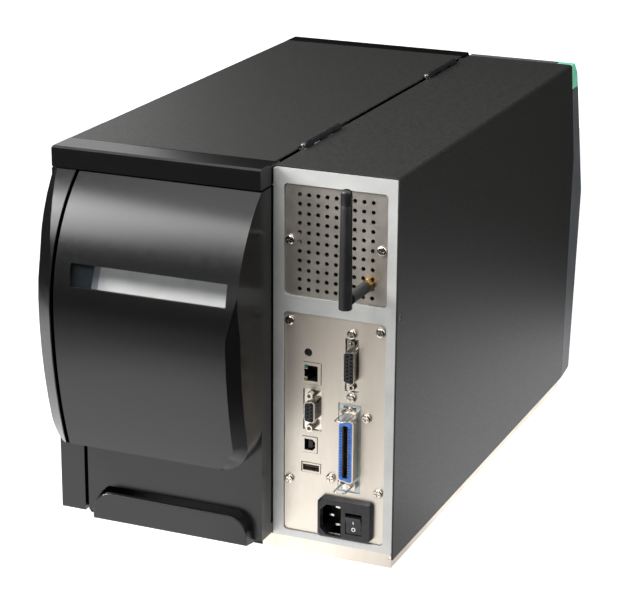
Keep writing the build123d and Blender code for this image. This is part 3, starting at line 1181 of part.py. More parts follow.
def hinge_leaf_lid():
    """Leaves under the media cover's top with the inner knuckles."""
    group = Part()
    leaf_top = LID_TOP_Z - SHEET
    for rear in HINGE_REAR_ENDS:
        leaf = Part()
        for y1, y0, kind in knuckle_spans():
            if kind == 1 and rear - HINGE_LENGTH <= y0 and y1 <= rear:
                neck = block(HINGE_X + HINGE_R - HINGE_NECK, HINGE_X + HINGE_R, y0, y1,
                             leaf_top - HINGE_LEAF_SHEET, HINGE_Z)
                strap = block(HINGE_X + HINGE_R - HINGE_NECK, LID_SEAM_X + 4, y0, y1,
                              leaf_top - HINGE_LEAF_SHEET, leaf_top)
                leaf += rod_y(y0, y1, HINGE_X, HINGE_Z, HINGE_R) + neck + strap
        leaf += block(HINGE_X + HINGE_R + HINGE_NOTCH + 0.4, HINGE_X + HINGE_R + HINGE_LEAF,
                      rear - HINGE_LENGTH, rear,
                      leaf_top - HINGE_LEAF_SHEET, leaf_top)
        group += leaf - rod_y(rear - HINGE_LENGTH - 1, rear + 1, HINGE_X, HINGE_Z, HINGE_PIN_R + RUN_GAP)
    return group


def hinge_pins():
    """Hinge pins with a ball at the rear end."""
    group = Part()
    for rear in HINGE_REAR_ENDS:
        group += rod_y(rear - HINGE_LENGTH, rear + 1.0, HINGE_X, HINGE_Z, HINGE_PIN_R)
        group += Pos(HINGE_X, rear + HINGE_BALL_R + 0.2, HINGE_Z) * Sphere(HINGE_BALL_R)
    return group


# Label supply

def arm_profile(clearance=0.0):
    """Section of the supply arm as (y, z) points: a low bar whose arched top carries the core."""
    top = ROLL_Z + CORE_R - SEAT_GAP
    half = ARM_WIDTH / 2 + clearance
    steps = 8
    radius = CORE_R - SEAT_GAP + clearance
    arch = []
    for i in range(steps + 1):
        y = -half + 2 * half * i / steps
        arch.append((ROLL_Y + y, ROLL_Z + sqrt(radius ** 2 - y ** 2)))
    low = top - ARM_HEIGHT - clearance
    return arch + [(ROLL_Y + half, low), (ROLL_Y - half, low)]


def label_hanger():
    """Arm that carries the label roll, with a round flange against the wall."""
    arm = slab_x(arm_profile(), WALL_X1, ARM_END_X)
    flange = rod_x(WALL_X1, ROLL_X0 - SEAT_GAP, ROLL_Y, ROLL_Z, ARM_FLANGE_R)
    rib_low = ROLL_Z + CORE_R - SEAT_GAP - ARM_HEIGHT
    rib = block(WALL_X1, ARM_END_X - 30, ROLL_Y - 3, ROLL_Y + 3, rib_low - 10, rib_low + 1)
    return arm + flange + rib


def label_roll():
    """Roll of label stock wound on a cardboard core."""
    outer = rod_x(ROLL_X0, ROLL_X1, ROLL_Y, ROLL_Z, ROLL_R)
    core = rod_x(ROLL_X0, ROLL_X1, ROLL_Y, ROLL_Z, CORE_R + CORE_WALL)
    bore = rod_x(ROLL_X0 - 1, ROLL_X1 + 1, ROLL_Y, ROLL_Z, CORE_R)
    return Compound(children=[outer - core, core - bore])


def roll_guide():
    """Disc that slides on the arm up to the label roll."""
    x0 = ROLL_X1 + SEAT_GAP
    disc = rod_x(x0, x0 + GUIDE_SHEET, ROLL_Y, ROLL_Z, GUIDE_R)
    for i in range(5):
        angle = radians(-90 + 45 * (i - 2))
        hole_y = ROLL_Y + 66 * cos(angle)
        hole_z = ROLL_Z + 66 * sin(angle)
        disc -= rod_x(x0 - 1, x0 + GUIDE_SHEET + 1, hole_y, hole_z, GUIDE_HOLE_R)
    disc -= slab_x(arm_profile(SLIDE_GAP), x0 - 1, x0 + GUIDE_SHEET + 1)
    rib = block(x0 - 1, x0 + GUIDE_SHEET + 1, ROLL_Y - 3 - SLIDE_GAP, ROLL_Y + 3 + SLIDE_GAP,
                ROLL_Z + CORE_R - ARM_HEIGHT - 12, ROLL_Z + CORE_R - ARM_HEIGHT + 2)
    return disc - rib


# Print mechanism

def print_frame():
    """Cast bracket: beam under the platen, outboard side plate and its post for the head shaft."""
    beam = block(WALL_X1, SIDE_PLATE_X0, BEAM_Y0, BEAM_Y1, BEAM_Z0, BEAM_Z1)
    beam -= block(WALL_X1 + 8, SIDE_PLATE_X0 - 8, BEAM_Y0 + 8, BEAM_Y1 - 6, BEAM_Z0 - 1, BEAM_Z1 - 6)
    outline = [(BEAM_Y0 + 1, FLOOR_TOP), (HEAD_PIVOT_Y + 10, FLOOR_TOP),
               (HEAD_PIVOT_Y + 10, HEAD_PIVOT_Z + 8),
               (HEAD_PIVOT_Y - 9, HEAD_PIVOT_Z + 8), (HEAD_PIVOT_Y - 16, PLATEN_Z + 2),
               (PLATEN_Y + 12, PLATEN_Z + 2), (PLATEN_Y + 12, PLATEN_Z + 12), (BEAM_Y0 + 1, PLATEN_Z + 12)]
    plate = slab_x(outline, SIDE_PLATE_X0, SIDE_PLATE_X1)
    plate -= rod_x(SIDE_PLATE_X0 - 1, SIDE_PLATE_X1 + 1, PLATEN_Y, PLATEN_Z, BEARING_R)
    plate -= rod_x(SIDE_PLATE_X0 - 1, SIDE_PLATE_X1 + 1, -152.0, 46.0, 14.0)
    plate -= rod_x(SIDE_PLATE_X0 - 1, SIDE_PLATE_X1 + 1, HEAD_PIVOT_Y, HEAD_PIVOT_Z, HEAD_PIVOT_R)
    return beam + plate


def shaft_bearings():
    """Flanged bushes of the platen shaft and of both ribbon spindles."""
    group = Part()
    for x0, x1 in ((WALL_X0, WALL_X1 + 1.6), (SIDE_PLATE_X0 - 1.6, SIDE_PLATE_X1)):
        bush = rod_x(x0, x1, PLATEN_Y, PLATEN_Z, BEARING_R)
        group += bush - rod_x(x0 - 1, x1 + 1, PLATEN_Y, PLATEN_Z, PLATEN_SHAFT_R + RUN_GAP)
    for y, z in (SUPPLY_SPINDLE, TAKEUP_SPINDLE):
        bush = rod_x(WALL_X0 - 5, WALL_X1 + 2.4, y, z, BEARING_R)
        group += bush - rod_x(WALL_X0 - 6, WALL_X1 + 4, y, z, PLATEN_SHAFT_R + RUN_GAP)
    return group


def platen_shaft():
    return rod_x(PULLEY_X0 - 2, SIDE_PLATE_X1 + 2, PLATEN_Y, PLATEN_Z, PLATEN_SHAFT_R)


def platen_rubber():
    """Rubber sleeve of the platen."""
    sleeve = rod_x(PRINT_X0, PRINT_X1, PLATEN_Y, PLATEN_Z, PLATEN_R)
    return sleeve - rod_x(PRINT_X0 - 1, PRINT_X1 + 1, PLATEN_Y, PLATEN_Z, PLATEN_SHAFT_R)


def pulley(y, z, radius, bore):
    """Toothed belt pulley with two flanges."""
    rim = 2.2
    face = rod_x(PULLEY_X0, PULLEY_X0 + PULLEY_WIDTH, y, z, radius)
    for x in (PULLEY_X0, PULLEY_X0 + PULLEY_WIDTH - 1.0):
        face += rod_x(x, x + 1.0, y, z, radius + rim)
    return face - rod_x(PULLEY_X0 - 1, PULLEY_X0 + PULLEY_WIDTH + 1, y, z, bore)


def platen_pulley():
    return pulley(PLATEN_Y, PLATEN_Z, PLATEN_PULLEY_R, PLATEN_SHAFT_R)


def motor_pulley():
    """Small pulley with the motor shaft that it is pressed on."""
    shaft = rod_x(MOTOR_FACE_X - 8, PULLEY_X0 + PULLEY_WIDTH, MOTOR_Y, MOTOR_Z, MOTOR_SHAFT_R)
    return Compound(children=[pulley(MOTOR_Y, MOTOR_Z, MOTOR_PULLEY_R, MOTOR_SHAFT_R), shaft])


def belt_loop(extra):
    """Face of the belt's loop round both pulleys, grown by a distance."""
    large = Pos(PLATEN_Y, PLATEN_Z) * Circle(PLATEN_PULLEY_R + extra)
    small = Pos(MOTOR_Y, MOTOR_Z) * Circle(MOTOR_PULLEY_R + extra)
    return Plane.YZ.offset(PULLEY_X0 + 1.0 + SEAT_GAP) * make_hull(large.edges() + small.edges())


def drive_belt():
    """Belt from the motor pulley to the platen pulley."""
    width = PULLEY_WIDTH - 2.0 - 2 * SEAT_GAP
    belt = extrude(belt_loop(SEAT_GAP + BELT_THICK), amount=width, dir=(1, 0, 0))
    return belt - extrude(belt_loop(SEAT_GAP), amount=width, dir=(1, 0, 0))


def stepper_motor():
    """Square stepper with cut corners between its end plates."""
    half = MOTOR_SIZE / 2
    x1 = MOTOR_FACE_X
    ends = plate_x(MOTOR_Y - half, MOTOR_Y + half, MOTOR_Z - half, MOTOR_Z + half, x1 - MOTOR_LENGTH, x1, 4.0)
    waist = plate_x(MOTOR_Y - half - 1, MOTOR_Y + half + 1, MOTOR_Z - half - 1, MOTOR_Z + half + 1,
                    x1 - MOTOR_LENGTH + 10, x1 - 10, 0.5)
    core = plate_x(MOTOR_Y - half + 0.6, MOTOR_Y + half - 0.6, MOTOR_Z - half + 0.6, MOTOR_Z + half - 0.6,
                   x1 - MOTOR_LENGTH + 10, x1 - 10, 9.0)
    motor = (ends - waist) + core
    return motor - rod_x(x1 - 9, x1 + 1, MOTOR_Y, MOTOR_Z, MOTOR_SHAFT_R + RUN_GAP)


def tear_bar():
    """Steel blade in front of the platen that labels are torn against."""
    y1 = BEAM_Y0
    y0 = y1 - TEAR_BAR_SHEET
    top = PLATEN_Z + PLATEN_R - 1.0
    outline = [(y1, BEAM_Z0 + 4), (y1, top - 2.4), (y0, top), (y0, BEAM_Z0 + 4)]
    return slab_x(outline, WALL_X1 + 3, SIDE_PLATE_X0 - 1)


def printhead_bracket():
    """Head carrier that swings on a shaft behind the head."""
    x0, x1 = PRINT_X0 + 2, PRINT_X1 - 2
    low = PLATEN_Z + PLATEN_R + WEB_GAP + 6.5
    plate = block(x0, x1, HEAD_FRONT_Y, HEAD_PIVOT_Y - 2, low, low + HEAD_THICK)
    hubs = Part()
    for start in (x0, x1 - 12):
        hubs += rod_x(start, start + 12, HEAD_PIVOT_Y, HEAD_PIVOT_Z, 8.0)
        hubs += block(start, start + 12, HEAD_PIVOT_Y - 22, HEAD_PIVOT_Y, low, HEAD_PIVOT_Z + 2)
    ears = Part()
    for start in (x0, x1 - 12):
        ears += slab_x([(LATCH_Y - 14, low + 2), (LATCH_Y + 10, low + 2), (LATCH_Y + 7, LATCH_Z + 5),
                        (LATCH_Y - 7, LATCH_Z + 5)], start, start + 5)
    carrier = plate + hubs + ears
    carrier -= rod_x(x0 - 1, x1 + 1, HEAD_PIVOT_Y, HEAD_PIVOT_Z, HEAD_PIVOT_R + RUN_GAP)
    return carrier - rod_x(x0 - 1, x1 + 1, LATCH_Y, LATCH_Z, 4.0 + RUN_GAP)


def printhead():
    """Thermal head with its cooling block, just above the platen."""
    x0, x1 = PRINT_X0 + 4, PRINT_X1 - 4
    low = PLATEN_Z + PLATEN_R + WEB_GAP
    body = block(x0, x1, HEAD_FRONT_Y + 1, PLATEN_Y + 18, low + 1.6, low + 6.5)
    return body + slab_x([(PLATEN_Y - 7, low + 1.6), (PLATEN_Y - 5, low), (PLATEN_Y + 14, low + 0.6),
                          (PLATEN_Y + 16, low + 1.6)], x0, x1)


def head_latch():
    """Latch shaft across the head carrier with its lever outside the side plate."""
    shaft = rod_x(PRINT_X0 + 2, 98.0, LATCH_Y, LATCH_Z, 4.0)
    x0, x1 = 94.0, 100.0
    half = LATCH_WIDTH / 2
    lever = rod_x(x0, x1, LATCH_Y, LATCH_Z, half)
    lever += block(x0, x1, LATCH_Y - LATCH_LENGTH, LATCH_Y, LATCH_Z - half, LATCH_Z + half)
    lever += rod_x(x0, x1, LATCH_Y - LATCH_LENGTH, LATCH_Z, half)
    return shaft + lever


def spindle(centre):
    """Splined ribbon spindle on its shaft, with a round flange beside the wall."""
    y, z = centre
    body = rod_x(WALL_X1 + 6, SPINDLE_END_X, y, z, SPINDLE_R)
    body = chamfer(body.edges().group_by(Axis.X)[-1], 2.0)
    for i in range(3):
        angle = radians(90 + 120 * i)
        fin = block(WALL_X1 + 8, SPINDLE_END_X - 6, y - 1.4, y + 1.4, z, z + SPINDLE_R + 1.6)
        body += fin.rotate(Axis((0, y, z), (1, 0, 0)), degrees(angle) - 90)
    flange = rod_x(WALL_X1 + 3, WALL_X1 + 6, y, z, SPINDLE_FLANGE_R)
    shaft = rod_x(WALL_X0 - 10, WALL_X1 + 6, y, z, PLATEN_SHAFT_R)
    return body + flange + shaft


def guide_posts():
    """Steel rods fixed in the wall: two web guides, the head shaft, the damper post and the rail."""
    group = Part()
    for y, z in GUIDE_POSTS:
        group += rod_x(WALL_X1, SPINDLE_END_X, y, z, POST_R)
    group += rod_x(WALL_X1, SIDE_PLATE_X1, HEAD_PIVOT_Y, HEAD_PIVOT_Z, HEAD_PIVOT_R)
    group += rod_x(WALL_X1, WALL_X1 + 12, DAMPER_PIVOT[0], DAMPER_PIVOT[1], DAMPER_POST_R)
    return group + rod_x(WALL_X1, RAIL_END_X, RAIL_Y, RAIL_Z, RAIL_R)


def web_damper():
    """Sprung arm with a long bar that keeps the label web taut."""
    y0, z0 = DAMPER_PIVOT
    y1, z1 = DAMPER_BAR
    x0 = WALL_X1 + 1.0
    hub = rod_x(x0, x0 + 9, y0, z0, 9.0)
    length = sqrt((y1 - y0) ** 2 + (z1 - z0) ** 2)
    angle = degrees(atan2(z1 - z0, y1 - y0))
    arm = Pos(x0 + 2.5, y0, z0) * Rot(angle, 0, 0) * Pos(0, length / 2, 0) * Box(5, length, 11)
    bar = rod_x(x0, SPINDLE_END_X, y1, z1, 5.5)
    return (hub + arm + bar) - rod_x(x0 - 3, x0 + 12, y0, z0, DAMPER_POST_R + RUN_GAP)


def edge_guide():
    """Block with a fin that steers the label's outer edge."""
    x0, x1 = EDGE_GUIDE_X, EDGE_GUIDE_X + 12
    body = block(x0, x1, RAIL_Y - 10, RAIL_Y + 10, RAIL_Z - 10, RAIL_Z + 8)
    fin = slab_x([(RAIL_Y - 18, RAIL_Z + 8), (RAIL_Y + 18, RAIL_Z + 8), (RAIL_Y + 12, RAIL_Z + 24),
                  (RAIL_Y - 12, RAIL_Z + 24)], x0, x0 + 2.5)
    return body + fin - rod_x(x0 - 1, x1 + 1, RAIL_Y, RAIL_Z, RAIL_R + RUN_GAP)


def lower_front_cover():
    """Fixed moulded cover under the label exit."""
    top = PLATEN_Z + 2
    wall = BEZEL_WALL
    x0, x1 = WALL_X1, FRONT_STRIP_X - 3
    chin = BEZEL_CHIN[1] + 1.5
    outer = [(front_y(top), top), (front_y(chin), chin), (PAN_FRONT_Y, chin), (PAN_FRONT_Y, top - 40),
             (BEAM_Y0 - 5, top)]
    shell = slab_x(outer, x0, x1)
    inner = [(front_y(top) + wall, top - wall), (front_y(chin) + wall, chin + wall),
             (PAN_FRONT_Y + 1, chin + wall),
             (PAN_FRONT_Y + 1, top - 44), (BEAM_Y0 - 4.5, top - wall)]
    shell -= slab_x(inner, x0 + wall, x1 - wall)
    shelf = block(x0, x1, PAN_FRONT_Y, WALL_FRONT - SEAT_GAP, FLOOR_TOP, FLOOR_TOP + wall)
    return shell + shelf


# Electronics

def board(x, y0, y1, z0, z1, chips):
    """Circuit board upright beside the wall, with flat packages on its outer side."""
    pcb = block(x - BOARD_SHEET, x, y0, y1, z0, z1)
    for y, z, width, height, rise in chips:
        pcb += block(x - BOARD_SHEET - rise, x - BOARD_SHEET, y - width / 2, y + width / 2,
                     z - height / 2, z + height / 2)
    return pcb


def circuit_boards():
    """Main board on posts from the wall, and the option card on posts from the main board."""
    chips = ((110.0, 150.0, 27.0, 27.0, 2.4), (110.0, 105.0, 18.0, 12.0, 1.6), (150.0, 95.0, 14.0, 20.0, 1.6),
             (75.0, 120.0, 24.0, 40.0, 9.0))
    main = board(BOARD_X, 55.0, REAR_Y - BOARD_SETBACK, 64.0, 178.0, chips)
    for y in (62.0, REAR_Y - 20):
        for z in BOARD_POST_HEIGHTS:
            main += rod_x(BOARD_X, WALL_X0, y, z, 3.0)
    chips = ((160.0, 120.0, 20.0, 20.0, 2.0), (140.0, 90.0, 10.0, 24.0, 1.6))
    option = board(OPTION_X, 118.0, REAR_Y - BOARD_SETBACK, 66.0, 176.0, chips)
    for z in BOARD_POST_HEIGHTS:
        option += rod_x(OPTION_X, BOARD_X - BOARD_SHEET, 126.0, z, 3.0)
    return Compound(children=[main, option, reset_switch()])


def power_supply():
    """Closed supply unit on the base pan, with louvres along its top."""
    x0, x1, y0, y1 = -126.0, -62.0, -20.0, 150.0
    top = 60.0
    case = block(x0, x1, y0, y1, FLOOR_TOP, top)
    case = fillet(case.edges().filter_by(Axis.Y).group_by(Axis.Z)[-1], 2.0)
    for i in range(9):
        y = y0 + 16 + i * 16.0
        case -= block(x0 + 12, x1 - 12, y, y + 6, top - 2, top + 1)
    return case


NODES = {
    "base_pan": base_pan,
    "rubber_feet": rubber_feet,
    "centre_frame": centre_frame,
    "vent_plate": vent_plate,
    "connector_plate": connector_plate,
    "case_screws": case_screws,
    "electronics_cover": electronics_cover,
    "front_bezel": front_bezel,
    "accent_corner": accent_corner,
    "control_panel": control_panel,
    "display_module": display_module,
    "pause_key": lambda: panel_key(key_columns()[0]),
    "feed_key": lambda: panel_key(key_columns()[1]),
    "cancel_key": lambda: panel_key(key_columns()[2]),
    "ethernet_jack": ethernet_jack,
    "serial_port": serial_port,
    "applicator_port": applicator_port,
    "usb_sockets": usb_sockets,
    "parallel_port_shell": parallel_port_shell,
    "parallel_port_insert": parallel_port_insert,
    "upper_port_bail": lambda: port_bail(1),
    "lower_port_bail": lambda: port_bail(-1),
    "reset_button": reset_button,
    "power_inlet": power_inlet,
    "power_switch": power_switch,
    "antenna_socket": antenna_socket,
    "antenna_elbow": antenna_elbow,
    "antenna_whip": antenna_whip,
    "rear_cover": rear_cover,
    "rear_window": rear_window,
    "lid_shell": lid_shell,
    "lid_rear_cap": lid_rear_cap,
    "lid_front_cap": lid_front_cap,
    "side_window": side_window,
    "hinge_leaf_base": hinge_leaf_base,
    "hinge_leaf_lid": hinge_leaf_lid,
    "hinge_pins": hinge_pins,
    "label_hanger": label_hanger,
    "label_roll": label_roll,
    "roll_guide": roll_guide,
    "print_frame": print_frame,
    "shaft_bearings": shaft_bearings,
    "platen_shaft": platen_shaft,
    "platen_rubber": platen_rubber,
    "platen_pulley": platen_pulley,
    "motor_pulley": motor_pulley,
    "drive_belt": drive_belt,
    "stepper_motor": stepper_motor,
    "printhead_bracket": printhead_bracket,
    "printhead": printhead,
    "head_latch": head_latch,
    "tear_bar": tear_bar,
    "ribbon_supply": lambda: spindle(SUPPLY_SPINDLE),
    "ribbon_takeup": lambda: spindle(TAKEUP_SPINDLE),
    "guide_posts": guide_posts,
    "web_damper": web_damper,
    "edge_guide": edge_guide,
    "lower_front_cover": lower_front_cover,
    "circuit_boards": circuit_boards,
    "power_supply": power_supply,
}

for node, maker in NODES.items():
    save(node, maker())
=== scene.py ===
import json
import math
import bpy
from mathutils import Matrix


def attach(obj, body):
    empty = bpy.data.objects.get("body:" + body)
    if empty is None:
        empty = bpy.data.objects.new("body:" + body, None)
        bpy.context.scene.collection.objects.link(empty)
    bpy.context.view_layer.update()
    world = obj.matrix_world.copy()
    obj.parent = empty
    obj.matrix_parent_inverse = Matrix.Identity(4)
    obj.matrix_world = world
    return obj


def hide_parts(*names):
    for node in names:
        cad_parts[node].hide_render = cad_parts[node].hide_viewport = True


bl_info = {
    "name": "Thermal transfer printer",
    "version": (1, 0, 0),
    "blender": (4, 5, 0),
    "location": "View3D > Sidebar > Printer",
    "description": "Finishes, fine detail and studio of a thermal transfer label printer",
    "category": "Object",
}

import bpy
from mathutils import Matrix, Vector

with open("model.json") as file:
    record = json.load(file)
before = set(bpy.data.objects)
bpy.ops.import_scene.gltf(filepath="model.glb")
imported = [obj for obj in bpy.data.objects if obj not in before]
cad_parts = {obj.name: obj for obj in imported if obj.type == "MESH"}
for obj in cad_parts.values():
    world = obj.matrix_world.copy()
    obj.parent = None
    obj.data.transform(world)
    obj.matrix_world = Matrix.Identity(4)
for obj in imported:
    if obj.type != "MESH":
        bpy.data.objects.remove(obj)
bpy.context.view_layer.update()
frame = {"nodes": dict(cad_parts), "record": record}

MM = 0.001
BODY_OF = {
    node: body
    for body, nodes in frame["record"]["behaviour"]["bodies"].items()
    for node in nodes
}
SLOT_OF = {part["node"]: part["material_slot"] for part in frame["record"]["subparts"]}

# Places on the rear, in millimetres as x and z, and the faces that the ports stand on, as y
JACK = (-66.1, 146.3)
SERIAL = (-66.4, 118.2)
DEVICE_USB = (-64.8, 90.8)
HOST_USB = (-65.8, 72.8)
APPLICATOR = (-97.0, 156.8)
PARALLEL = (-95.7, 92.7)
SOCKET = (-83.15, 35.5)
ROCKER = (-101.3, 35.2)
PLATE_FACE = 194.75
SERIAL_FACE = 193.25
PARALLEL_FACE = 194.15
SOCKET_RISE = 0.4        # how far the network jack and the peripheral sockets stand out
SERIAL_RISE = 6.9        # height of the serial ports' shells
PARALLEL_LOCK = 29.75    # from the ports' middles to their screws
APPLICATOR_LOCK = 16.65
COVER_SIDE = -128.0      # beyond this x lies the outside of the electronics cover
BAY_EDGE = -30.0         # from this x on lies the media bay
PAN_SIDE = 100.0         # from this x on lies the pan's rim on the media side
SHADE_STRIP_X = (124.9, 128.3)  # black rubber strip on the pan's edge, inside the closed media cover: painted shade that closes the gap there
SHADE_STRIP_Y = (20.0, 190.5)
SHADE_STRIP_Z = (15.7, 19.5)
COUPLING_RISE = 7.6      # how far the antenna's gold coupling stands out of the plate
WHIP_CAP = 289.0         # height of the ring groove under the antenna's cap
ROLL_MIDDLE = (149.35, 175.0)    # of the label roll, as y and z
ROLL_ENDS = (-29.7, 81.3)        # as x
ROLL_R = 99.0
CORE_R = 38.1
CORE_WALL = 3.0
PANEL_OUT = Vector((0.0, -0.9694, 0.2456))      # direction that the control panel faces
EDGE_ANGLE = 32.0        # least angle, in degrees, at which an edge is rounded
SMOOTH_ANGLE = 40.0      # and up to which faces are shaded as one

# Camera as solved from the photo: place in millimetres and turns in degrees
CAMERA_PLACE = Vector((-638.16, 1538.81, 685.27))
CAMERA_BEARING = 203.0456
CAMERA_DIP = 18.3022
CAMERA_ROLL = 0.3935
FOCAL_PX = 2155.51
PHOTO_WIDTH_PX = 626
SENSOR_WIDTH = 36.0


def linear(hex_colour):
    """Red, green and blue of an sRGB hex colour, made linear."""
    parts = [int(hex_colour[i:i + 2], 16) / 255 for i in (1, 3, 5)]
    return tuple(c / 12.92 if c <= 0.04045 else ((c + 0.055) / 1.055) ** 2.4 for c in parts)


# Finishes

def add(owner, kind, values=(), **links):
    """One shader node of a material or world with its settings, and the outputs that feed it."""
    made = owner.node_tree.nodes.new("ShaderNode" + kind)
    for name, value in dict(values).items():
        if name in made.inputs:
            made.inputs[name].default_value = value
        else:
            setattr(made, name, value)
    for name, source in links.items():
        owner.node_tree.links.new(source, made.inputs[name.replace("_", " ")])
    return made


def shader(material):
    return material.node_tree.nodes["Principled BSDF"]


def surface(name, tones, patch, rough, grain, depth, stretch=(1, 1, 1), **sockets):
    """Material with a colour that drifts between two tones over patches, and a grain that its
    gloss and its bump share. Patch, grain and depth are in millimetres."""
    stops, grain_span = (0.35, 0.65), (0.3, 0.7)
    material = bpy.data.materials.new(name)
    material.use_nodes = True
    place = add(material, "TexCoord").outputs["Object"]
    scale = [part / MM for part in stretch]
    spot = add(material, "Mapping", {"Scale": scale}, Vector=place).outputs["Vector"]
    patches = add(material, "TexNoise", {"Scale": 1 / patch, "Detail": 3.0}, Vector=spot)
    tone = add(material, "ValToRGB", Fac=patches.outputs["Fac"])
    for stop, (position, colour) in zip(tone.color_ramp.elements, zip(stops, tones)):
        stop.position = position
        stop.color = (*colour, 1.0)
    fine = add(material, "TexNoise", {"Scale": 1 / grain, "Detail": 2.0}, Vector=spot)
    gloss = add(material, "MapRange", {"From Min": grain_span[0], "From Max": grain_span[1],
                                       "To Min": rough[0], "To Max": rough[1]},
                Value=fine.outputs["Fac"])
    bump = add(material, "Bump", {"Distance": depth * MM, "Strength": 1.0},
               Height=fine.outputs["Fac"])
    links = material.node_tree.links
    links.new(tone.outputs["Color"], shader(material).inputs["Base Color"])
    links.new(gloss.outputs["Result"], shader(material).inputs["Roughness"])
    links.new(bump.outputs["Normal"], shader(material).inputs["Normal"])
    for socket, value in sockets.items():
        shader(material).inputs[socket.replace("_", " ")].default_value = value
    return material


def shades(colour, spread):
    """A darker and a lighter tone of one colour."""
    return [tuple(part * (1 + side * spread) for part in colour) for side in (-1, 1)]


def black_powder_coat(paint):
    """Powder coat, sprayed dry on sheet steel and baked: a fine pebbled film that breaks a
    highlight into specks. Its 0.3 mm grit is drawn 0.9 mm coarse so that it shows."""
    return surface("black_powder_coat", shades(paint, 0.2), 3.0, (0.40, 0.54), 0.9, 0.04)


def black_abs(plastic):
    """ABS moulded in a polished tool: nearly even black with soft reflections and a faint
    orange peel a few millimetres wide."""
    return surface("black_abs", shades(plastic, 0.05), 40.0, (0.23, 0.26), 4.0, 0.002)


def black_textured_abs(plastic):
    """ABS moulded in a spark-eroded tool: the same black, matt and finely grained."""
    return surface("black_textured_abs", shades(plastic, 0.12), 20.0, (0.42, 0.55), 0.8, 0.02)


def grey_abs(plastic):
    """Dark grey ABS of the front, spark-eroded: matt with a fine even grain."""
    return surface("grey_abs", shades(plastic, 0.1), 25.0, (0.40, 0.52), 0.8, 0.02)


def green_abs(plastic):
    """Coloured ABS with a satin face."""
    return surface("green_abs", shades(plastic, 0.06), 15.0, (0.28, 0.36), 1.2, 0.01,
                   Subsurface_Weight=0.1, Subsurface_Scale=0.003)


def light_acetal(plastic):
    """Natural acetal, machined or moulded: milky, waxy and a little translucent."""
    return surface("light_acetal", shades(plastic, 0.05), 12.0, (0.30, 0.40), 1.5, 0.01,
                   Subsurface_Weight=0.15, Subsurface_Scale=0.004)


def cast_aluminium():
    """Die-cast aluminium, tumbled and left bare: even pale grey with a fine satin grain."""
    tones = (linear("#d2d3d1"), linear("#dcdcd9"))
    return surface("cast_aluminium", tones, 25.0, (0.60, 0.70), 1.2, 0.012, Metallic=0.85)


def nickel_plate():
    """Steel sheet with satin nickel plate: a warm pale metal with a very fine rolled grain
    that runs up the sheet."""
    tones = (linear("#e4d9cb"), linear("#f2e9dd"))
    return surface("nickel_plate", tones, 30.0, (0.42, 0.52), 1.0, 0.006,
                   stretch=(1, 1, 0.15), Metallic=1.0)


def zinc_plate():
    """Steel sheet with blue zinc plate: grey, slightly warm, with drifting passivation tones."""
    tones = (linear("#bdb7ae"), linear("#cfc9bf"))
    return surface("zinc_plate", tones, 14.0, (0.42, 0.54), 1.2, 0.006, Metallic=1.0)


def black_oxide():
    """Blackened steel of the hinges and the cover screws: blue-black, satin, slightly oily."""
    tones = (linear("#141516"), linear("#202123"))
    return surface("black_oxide", tones, 3.0, (0.28, 0.40), 0.6, 0.01, IOR=2.0)


def nickel_screw():
    """Cold-headed steel screws with bright nickel plate: small and shiny, dark in the cross."""
    tones = (linear("#d8d0c4"), linear("#efe9df"))
    return surface("nickel_screw", tones, 2.0, (0.16, 0.26), 0.5, 0.01, Metallic=1.0)


def ground_steel():
    """Ground steel shafts: bright, with fine rings round the shaft."""
    tones = (linear("#b6b8ba"), linear("#d5d6d7"))
    return surface("ground_steel", tones, 6.0, (0.18, 0.30), 0.4, 0.008,
                   stretch=(1, 0.1, 0.1), Metallic=1.0)


def port_flange():
    """Tin-plated steel flange of the parallel port, lightly chromated: a cool dull grey."""
    tones = (linear("#a9b7ba"), linear("#c3ced0"))
    return surface("port_flange", tones, 6.0, (0.34, 0.46), 0.8, 0.008, Metallic=0.85)


def gold_plate():
    """Gold flash over nickel on contacts: yellow and bright."""
    tones = (linear("#d9a94a"), linear("#efc978"))
    return surface("gold_plate", tones, 1.5, (0.18, 0.30), 0.4, 0.004, Metallic=1.0)


def feet_rubber():
    """Moulded natural rubber: dull black with a dusty bloom."""
    tones = (linear("#161616"), linear("#262524"))
    return surface("feet_rubber", tones, 6.0, (0.75, 0.92), 0.9, 0.03)


def platen_silicone():
    """Ground silicone rubber of the roller: dark grey, matt, with a fine cross grain."""
    tones = (linear("#2b2c2d"), linear("#38393a"))
    return surface("platen_silicone", tones, 8.0, (0.58, 0.70), 0.5, 0.02, stretch=(0.2, 1, 1))


def glass_filled_nylon():
    """Black glass-filled nylon of connectors, latches and levers: dry satin black."""
    tones = (linear("#17171a"), linear("#232326"))
    return surface("glass_filled_nylon", tones, 4.0, (0.38, 0.52), 0.6, 0.012)


def antenna_jacket():
    """Thermoplastic rubber sleeve of the antenna: soft satin black."""
    tones = (linear("#121213"), linear("#1b1b1c"))
    return surface("antenna_jacket", tones, 9.0, (0.40, 0.50), 1.0, 0.012)


def blue_polyester():
    """Blue polyester insert of the parallel port: saturated, satin, moulded smooth."""
    tones = (linear("#2c62b4"), linear("#3f78c8"))
    return surface("blue_polyester", tones, 7.0, (0.32, 0.42), 0.7, 0.008)


def solder_mask():
    """Green solder mask over copper traces on glass-epoxy board: the traces stand a little
    proud and show as lighter lines about 1 mm wide."""
    board = surface("solder_mask", (linear("#14472c"), linear("#1f6a41")), 5.0, (0.25, 0.38),
                    1.0, 0.01)
    place = add(board, "TexCoord").outputs["Object"]
    cells = add(board, "TexBrick", {"Scale": 260.0, "Mortar Size": 0.03}, Vector=place)
    lines = add(board, "Bump", {"Distance": 0.03 * MM}, Height=cells.outputs["Fac"])
    board.node_tree.links.new(lines.outputs["Normal"], shader(board).inputs["Normal"])
    return board


